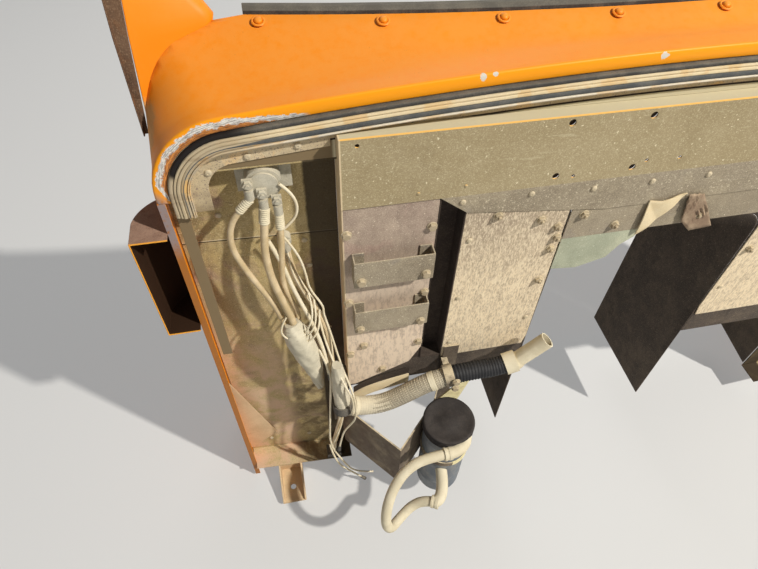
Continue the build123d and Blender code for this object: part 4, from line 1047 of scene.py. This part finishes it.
strips = (
    # name, materials, node, slot, then inset from and to, front and rear depth, bulge, wobble, seed, material
    ("hoodSealRubber", ("lipRubber", "innerRubber"), "hood_seals", "rubber", (
        (26.5, 34.5, 14.6, 24.8, 2.5, 0.5, 3, 0), (46.3, 56.7, 11.4, 24.8, 2.5, 0.4, 5, 1))),
    ("railBeads", ("railTan", "railPale"), None, "seal_steel", (
        (34.9, 39.6, 13.2, 24.8, 0.8, 0.25, 7, 0), (40.2, 45.8, 11.2, 14.0, 0.8, 0.25, 7, 0),
        (57.2, 59.8, 10.6, 17.0, 0.8, 0.25, 8, 1), (60.4, 62.2, 12.6, 17.0, 0.8, 0.25, 8, 1))),
)
for name, materials, node, slot, rows in strips:
    heap = Heap()
    for *section, wobble, seed, tint in rows:
        heap.add(archSweep(rounded(*section), wobble, seed), tint=tint)
    heap.finish(name, materials, node, 60, slot)
print("seals made")

# wiring: each run has a radius and its route
cables = (
    (6.5, ((-894, 17, 1173.7), (-921, 13, 1150), (-942, 9, 1112), (-944, 6, 1064), (-930, 4, 1012),
           (-911, 0, 960), (-888, -5, 905), (-872, -8, 835), (-864, -14, 806))),
    (8.0, ((-872, 17, 1149.7), (-879, 9, 1104), (-886, 2, 1048), (-882, -6, 985), (-868, -12, 915),
           (-850, -16, 835), (-852, -22, 806))),
    (6.5, ((-848, 17, 1131.7), (-849, 9, 1086), (-856, 3, 1022), (-862, 1, 958), (-853, 6, 900), (-838, 10, 835),
           (-842, -4, 806))),
)
trunk = {
    "radius": 0.008, "strands": 7, "strand": 0.0028, "core": 0.0040, "twist": 9.0, "seed": 4,
    "route": ((-846, 44, 1022), (-842, 37, 965), (-824, 24, 905), (-798, 12, 845), (-782, 2, 780), (-777, -5, 715),
              (-776, -10, 645), (-766, -14, 580), (-758, -18, 515), (-757, -24, 450), (-764, -30, 385),
              (-776, -32, 320), (-786, -26, 250), (-790, -8, 180), (-790, 13, 100)),
}
thinWires = (
    (3.0, ((-840, 20, 1198), (-821, 24, 1173), (-811, 28, 1133), (-821, 30, 1099), (-846, 26, 1081))),
    (2.6, ((-848, 20, 1071), (-824, 18, 1025), (-812, 14, 962), (-810, 10, 918), (-782, 4, 857), (-785, 2, 838),
           (-774, -4, 779), (-753, -40, 655), (-739, -92, 641), (-730, -92, 559), (-730, -88, 481),
           (-750, -76, 421), (-766, -70, 376), (-777, -66, 282))),
    (2.6, ((-795, 2, 827), (-793, -4, 783), (-772, -40, 681), (-753, -92, 655), (-733, -92, 580),
           (-738, -88, 511))),
    (2.8, ((-804, -30, 740), (-792, -36, 691), (-783, -42, 640), (-787, -60, 610), (-797, -60, 438),
           (-804, -60, 297), (-773, -64, 186), (-736, -70, 86), (-677, -76, 82))),
    (2.8, ((-804, -60, 297), (-793, -64, 176), (-747, -66, 91), (-712, -66, 30))),
    (4.6, ((-876, 8, 1075), (-857, 4, 1018), (-842, 0, 930), (-813, -10, 830), (-791, -24, 720), (-786, -40, 645))),
    (2.2, ((-812, 12, 902), (-806, -16, 872), (-818, -36, 842), (-838, -30, 800))),
    (2.2, ((-802, 10, 880), (-800, -20, 850), (-816, -40, 822), (-838, -34, 796))),
    (2.2, ((-866, -20, 866), (-884, -30, 842), (-876, -36, 814), (-858, -34, 796))),
    (2.2, ((-792, 2, 850), (-796, -26, 830), (-812, -44, 806), (-832, -36, 786))),
)
plugged = (1, 4, 5)  # thin wires that end in a small plug
plug = ((0, -8), (3.6, -8), (4.4, -6), (4.4, 8), (5.4, 9), (5.4, 20), (3.0, 21), (2.6, 17), (0, 17))
sleeves = {"length": 0.034, "wall": 0.0022, "rib": 0.0007, "pitch": 0.0042, "finePitch": 0.001}


def strands():
    # The trunk's thin wires, laid round its line.
    path = laid(trunk["route"], 0.006)
    noise = random.Random(trunk["seed"])
    for k in range(trunk["strands"]):
        phase = math.tau * k / trunk["strands"] + noise.uniform(-0.3, 0.3)
        line = []
        for point, ahead, side, run in carried(path, (0, 1, 0)):
            turn = phase + trunk["twist"] * run + 0.5 * math.sin(run * 17 + k)
            away = side * math.cos(turn) + ahead.cross(side) * math.sin(turn)
            line.append(point + away * (trunk["radius"] - trunk["strand"]))
        yield swept(line, trunk["strand"], 8)


def wires():
    heap = Heap()
    for radius, points in cables:
        radius = radius / 1000 - 0.0003
        heap.add(tube(points, radius, 14))
        sleeve = laid(points[:-1], sleeves["finePitch"])[:round(sleeves["length"] / sleeves["finePitch"])]
        heap.add(swept(sleeve, ringed(radius + sleeves["wall"], sleeves["rib"], sleeves["pitch"])), tint=1)
    heap.finish("powerCables", ["jacket", "hoseCream"], "power_cables", 60, "cable_jacket")
    heap = Heap()
    for index, shape in enumerate(strands()):
        heap.add(shape, tint=index % 2)
    heap.add(tube(trunk["route"], trunk["core"], 8))
    heap.finish("harnessTrunk", ["jacket", "thinWire"], "harness_trunk", 60, "cable_jacket")
    heap = Heap()
    for radius, points in thinWires:
        heap.add(tube(points, radius / 1000, 8, 0.008))
    for index in plugged:
        before, end = route(thinWires[index][1][-2:])
        turn = (end - before).to_track_quat("Z", "Y").to_matrix().to_4x4()
        heap.add(lathe(plug, 14), Matrix.Translation(end) @ turn, 1)
    heap.finish("thinWires", ["thinWire", "moulded"], None, 60, "cable_jacket")


wires()

# taped boots, each a line with radii, and the clamp where the lower one takes the conduit
bootShapes = (
    (((-858, -14, 838), 17), ((-855, -16, 822), 24), ((-850, -19, 800), 29), ((-845, -20, 776), 31),
     ((-834, -20, 733), 30), ((-822, -18, 662), 24), ((-815, -16, 600), 15), ((-810, -14, 550), 9)),
    (((-768, -56, 704), 13), ((-766, -57, 650), 17), ((-763, -59, 580), 20), ((-761, -60, 532), 21)),
)
wrap = {"pitch": 0.011, "edge": 0.0019, "tuck": 0.0018, "lump": 0.0009, "crease": 0.0005}
bootClamp = {"route": ((-761, -60, 532), (-760, -60, 496)), "radius": 0.0245, "rib": 0.0008, "pitch": 0.009}


def taped(rows):
    points = route([point for point, radius in rows])
    radii = [radius / 1000 for point, radius in rows]
    marks = [0.0]
    for a, b in zip(points, points[1:]):
        marks.append(marks[-1] + (b - a).length)

    def radiusAt(run, angle):
        k = max(i for i in range(len(marks) - 1) if marks[i] <= run + 1e-9)
        t = min(1.0, (run - marks[k]) / (marks[k + 1] - marks[k]))
        t = t * t * (3 - 2 * t)
        turn = (run / wrap["pitch"] + angle / math.tau) % 1.0
        lump = wrap["lump"] * math.sin(3 * angle + 40 * run) + wrap["crease"] * math.sin(8 * angle + 90 * run)
        return radii[k] * (1 - t) + radii[k + 1] * t - wrap["tuck"] + wrap["edge"] * turn + lump
    return swept(resample(points, 0.0011), radiusAt, 40)


boot = Heap()
for rows in bootShapes:
    boot.add(taped(rows))
clampRings = ringed(bootClamp["radius"], bootClamp["rib"], bootClamp["pitch"])
boot.add(swept(resample(route(bootClamp["route"]), 0.001), clampRings, 32), tint=1)
boot.finish("connectorBoot", ["tape", "moulded"], "connector_boot", 50, "cable_jacket")

loom = {
    "route": ((-745, -55, 498), (-700, -52, 478), (-650, -52, 474), (-596, -54, 506), (-540, -54, 546),
              (-478, -54, 566), (-410, -54, 572), (-350, -56, 572), (-304, -56, 588)),
    "radius": 0.0248, "clampX": -0.470, "threads": 84, "braids": 14, "braidPitch": 0.052, "relief": 0.0009,
    "dustyX": -0.655, "ribPitch": 0.0082, "rib": 0.0010,
    "bands": ((-0.520, 0.016, 0.0016), (-0.728, 0.012, 0.002)),  # x, width and wall
}


def conduit():
    # Braided sleeve up to the clamp, with a tape tie, and corrugated tube after it.
    line = laid(loom["route"], 0.0015)
    cut = next(k for k, point in enumerate(line) if point.x > loom["clampX"])
    heap = Heap()

    def braided(run, angle):
        turn = math.tau * run / loom["braidPitch"] * loom["braids"] / 4
        over = math.sin(loom["braids"] * angle + turn) * math.sin(loom["braids"] * angle - turn)
        return loom["radius"] + loom["relief"] * over

    def ribbed(run, angle):
        wave = math.sin(math.tau * run / loom["ribPitch"])
        return loom["radius"] - 0.0006 + loom["rib"] * max(-0.7, min(0.7, wave * 1.4))

    heap.add(swept(line[:cut + 1], braided, loom["threads"]))
    for index in range(cut * loom["threads"]):
        row, thread = divmod(index, loom["threads"])
        clean = line[row].x > loom["dustyX"] + 0.03 * math.sin(thread * 0.9)
        if clean and (row + thread) % 3 and (row - thread) % 3:
            heap.tints[index] = 3
    heap.add(swept(line[cut:], ribbed, 28), tint=1)
    for x, span, thick in loom["bands"]:
        near = [point for point in line if abs(point.x - x) < span / 2]
        heap.add(swept(near, ringed(loom["radius"] + thick, 0.0004, 0.005), 32), tint=2)
    heap.finish("conduitLoom", ["braid", "blackLoom", "hoseCream", "braidGap"], "conduit", 50, "rubber")


conduit()

pot = {
    "x": -484.0, "y": -124.0, "radius": 64.0, "bottom": 110.0, "top": 422.0, "capRadius": 70.0, "ribs": 4,
    "ribHeight": 8.5, "steps": 56, "portRadius": 0.0165, "collarRadius": 0.0178, "collarLength": 20.0,
}
ports = (
    # where the collar begins on the hose, the elbow, the root on the canister
    ((-518, -206, 431.5), (-446, -206, 432), (-446, -150, 432)),
    ((-550, -260, 257), (-512, -280, 264), (-500, -160, 270)),
)
bead = ((0.0, -5), (0.9, -3), (0.9, 3), (0.0, 5))
capRib = ((-3.4, 0.4), (-0.8, 2.2), (0.0, 3.8), (0.0, 5.2), (-0.8, 6.8), (-3.4, 8.3))


def canister():
    heap = Heap()
    radius, capRadius, bottom, top = pot["radius"], pot["capRadius"], pot["bottom"], pot["top"]
    place = Matrix.Translation(wall(pot["x"], pot["y"], 0))
    side = [(0, bottom), (radius - 12, bottom), (radius - 4, bottom + 3), (radius - 1, bottom + 8),
            (radius, bottom + 16)]
    side += [(radius + out, level + up) for level in (bottom + 60, bottom + 180, top - 30) for out, up in bead]
    side += [(radius, top - 4), (radius - 2, top - 1), (0, top - 1)]
    heap.add(lathe(side, pot["steps"]), place, 0)
    cap = [(0, top - 2), (capRadius - 3, top - 2)]
    cap += [(capRadius + out, top + k * pot["ribHeight"] + up) for k in range(pot["ribs"]) for out, up in capRib]
    last = top + pot["ribs"] * pot["ribHeight"]
    cap += [(capRadius - 8, last), (capRadius - 14, last - 2.5), (26, last - 2.8), (22, last - 0.4), (0, last - 0.2)]
    heap.add(lathe(cap, pot["steps"]), place, 1)
    for start, elbow, root in ports:
        heap.add(tube((start, elbow, root), pot["portRadius"], 24, 0.004), tint=2)
        lead = (Vector(elbow) - Vector(start)).normalized()
        band = resample(route((start, Vector(start) + lead * pot["collarLength"])), 0.001)
        heap.add(swept(band, lambda run, angle: pot["collarRadius"] - 0.0012 * (0.006 < run < 0.012), 28), tint=2)
    heap.finish("canisterPot", ["blueGrey", "capRubber", "hoseCream"], "canister", 40, slots["canister"])


canister()
hoseLine = {
    "radius": 0.0138,
    "route": ((-500, -206, 432), (-556, -206, 430), (-608, -214, 420), (-654, -242, 394), (-684, -280, 350),
              (-692, -308, 294), (-676, -306, 240), (-642, -274, 214), (-602, -250, 226), (-566, -252, 252),
              (-534, -268, 262)),
}
hose = Heap()
hose.add(tube(hoseLine["route"], hoseLine["radius"], 20))
hose.finish("canisterHose", ["hoseCream"], "canister_hose", 60, "rubber")

# folded edge that shows under the step panel, with a dark strip above it as painted shade
flange = {
    "line": ((-722, 468), (-706, 480), (-691, 489), (-664, 500), (-636, 508), (-604, 516), (-571, 523)),
    "fold": ((-2.0, 0), (-6.5, -1.5), (-8.0, -4.0), (-8.0, -36.0), (-2.0, -36.0)),
    "web": ((-1.9, -5), (-0.6, -5), (-0.6, 28), (-1.9, 28)),
}
toeFlange = Heap()
for sign in (1, -1):
    for tint, section in enumerate((flange["fold"], flange["web"])):
        width = len(section)
        points = [wall(sign * x, y, z + rise) for x, z in flange["line"] for y, rise in section]
        faces = [[a, b, b + width, a + width] for a, b in around(len(flange["line"]), width)]
        faces += [list(range(width))[::-1], [len(points) - width + j for j in range(width)]]
        toeFlange.add((points, faces), tint=tint)
toeFlange.finish("toeFlange", ["stripTan", "soot"], None, 40, "firewall_paint")

# torn insulation: crumpled sheets, each an outline with its crumple
flapShapes = (
    (((-2, 1074), (-55, 1060), (-84, 1064), (-81, 964), (-60, 985), (-20, 1040)),
     lambda x, z: 0.0035 * math.sin(42 * x + 30 * z)),
    (((4, 1070), (40, 1066), (109, 962), (54, 956), (20, 990)), lambda x, z: 0.005 * math.sin(260 * x + 190 * z)),
)


def flaps():
    heap = Heap()
    for tint, (loop, crumple) in enumerate(flapShapes):
        work = bmesh.new()
        face = work.faces.new([work.verts.new((x / 1000, 0, z / 1000)) for x, z in loop])
        bmesh.ops.triangulate(work, faces=[face])
        bmesh.ops.subdivide_edges(work, edges=work.edges, cuts=9, use_grid_fill=True)
        work.verts.index_update()
        points = [(v.co.x, shift - 0.0048 - abs(crumple(v.co.x, v.co.z)), v.co.z) for v in work.verts]
        heap.add((points, [[v.index for v in f.verts] for f in work.faces]), tint=tint)
        work.free()
    piece = heap.finish("insulationFlaps", ["fibre", "fibreBrown"], "insulation_flaps", 70, "insulation")
    thicken(piece, "thick", 0.0018, 0)


flaps()
print("wiring made")

# stage
studio = {
    "floor": (0.74, 0.735, 0.72), "glow": (0.86, 0.86, 0.85), "glowStrength": 0.8, "glowShare": 0.35,
    "sky": (0.92, 0.95, 1.0), "skyStrength": 0.14, "white": (1.0, 1.0, 1.0), "whiteStrength": 0.86,
    "lamps": (
        # name, place, target, size, power, colour
        ("key", (4.6, -4.1, 7.6), (-0.3, 0.1, 1.0), 0.3, 1040, (1.0, 0.965, 0.9)),
        ("fill", (-4.0, -3.4, 2.2), (0, 0, 0.9), 3.0, 13, (0.94, 0.97, 1.0)),
        ("back", (0.5, 4.5, 3.6), (0, 0, 1.0), 3.0, 50, (1.0, 1.0, 1.0)),
    ),
}


def backdrop():
    bpy.ops.mesh.primitive_plane_add(size=30, location=(0, 0, -0.012))
    floor = bpy.context.object
    floor.name = "floor"
    s = Shade("floorPale")
    s.set(Base_Color=studio["floor"], Roughness=0.9)
    # The camera sees a part of its paleness without light, so it stays pale far away.
    glow = s.node("ShaderNodeEmission", {}, {"Color": studio["glow"], "Strength": studio["glowStrength"]})
    share = s.node("ShaderNodeLightPath", {}, {}, "Is Camera Ray") * studio["glowShare"]
    s.feed(s.output.inputs[0], s.node("ShaderNodeMixShader", {}, [share, s.surface, glow]))
    floor.data.materials.append(s.material)

    # The world lights the object plainly, and shows white only to the camera and in reflections.
    world = bpy.data.worlds.new("studio")
    bpy.context.scene.world = world
    world.use_nodes = True
    g = Graph(world.node_tree)
    light, white = [g.node("ShaderNodeBackground", {}, [studio[key], studio[key + "Strength"]])
                    for key in ("sky", "white")]
    path = g.tree.nodes.new("ShaderNodeLightPath")
    seen = Value(g, path.outputs["Is Camera Ray"])
    for ray in ("Is Glossy Ray", "Is Transmission Ray"):
        seen = seen.math("MAXIMUM", Value(g, path.outputs[ray]))
    out = g.tree.nodes.new("ShaderNodeOutputWorld")
    g.feed(out.inputs[0], g.node("ShaderNodeMixShader", {}, [seen, light, white]))


def lamp(name, place, target, size, power, colour):
    data = bpy.data.lights.new(name, "AREA")
    data.shape = "DISK"
    data.size = size
    data.energy = power
    data.color = colour
    made = bpy.data.objects.new(name, data)
    bpy.context.scene.collection.objects.link(made)
    made.location = place
    made.rotation_mode = "QUATERNION"
    made.rotation_quaternion = (Vector(target) - Vector(place)).to_track_quat("-Z", "Y")


backdrop()
for setting in studio["lamps"]:
    lamp(*setting)

# the photo's own view
photoView = {
    "place": (-0.834, -0.734, 1.850), "right": (0.98015, -0.19734, 0.0187), "up": (0.13869, 0.75001, 0.6467),
    "back": (-0.14163, -0.63127, 0.7625), "focal": 570, "pixels": 758, "sensor": 36.0,
}


def camera():
    data = bpy.data.cameras.new("view")
    made = bpy.data.objects.new("view", data)
    bpy.context.scene.collection.objects.link(made)
    turn = Matrix([photoView[key] for key in ("right", "up", "back")]).transposed()
    made.matrix_world = Matrix.Translation(photoView["place"]) @ turn.to_4x4()
    data.sensor_width = photoView["sensor"]
    data.lens = photoView["focal"] / photoView["pixels"] * photoView["sensor"]
    data.clip_start = 0.02
    bpy.context.scene.camera = made


camera()
bpy.context.scene.view_settings.view_transform = "Standard"
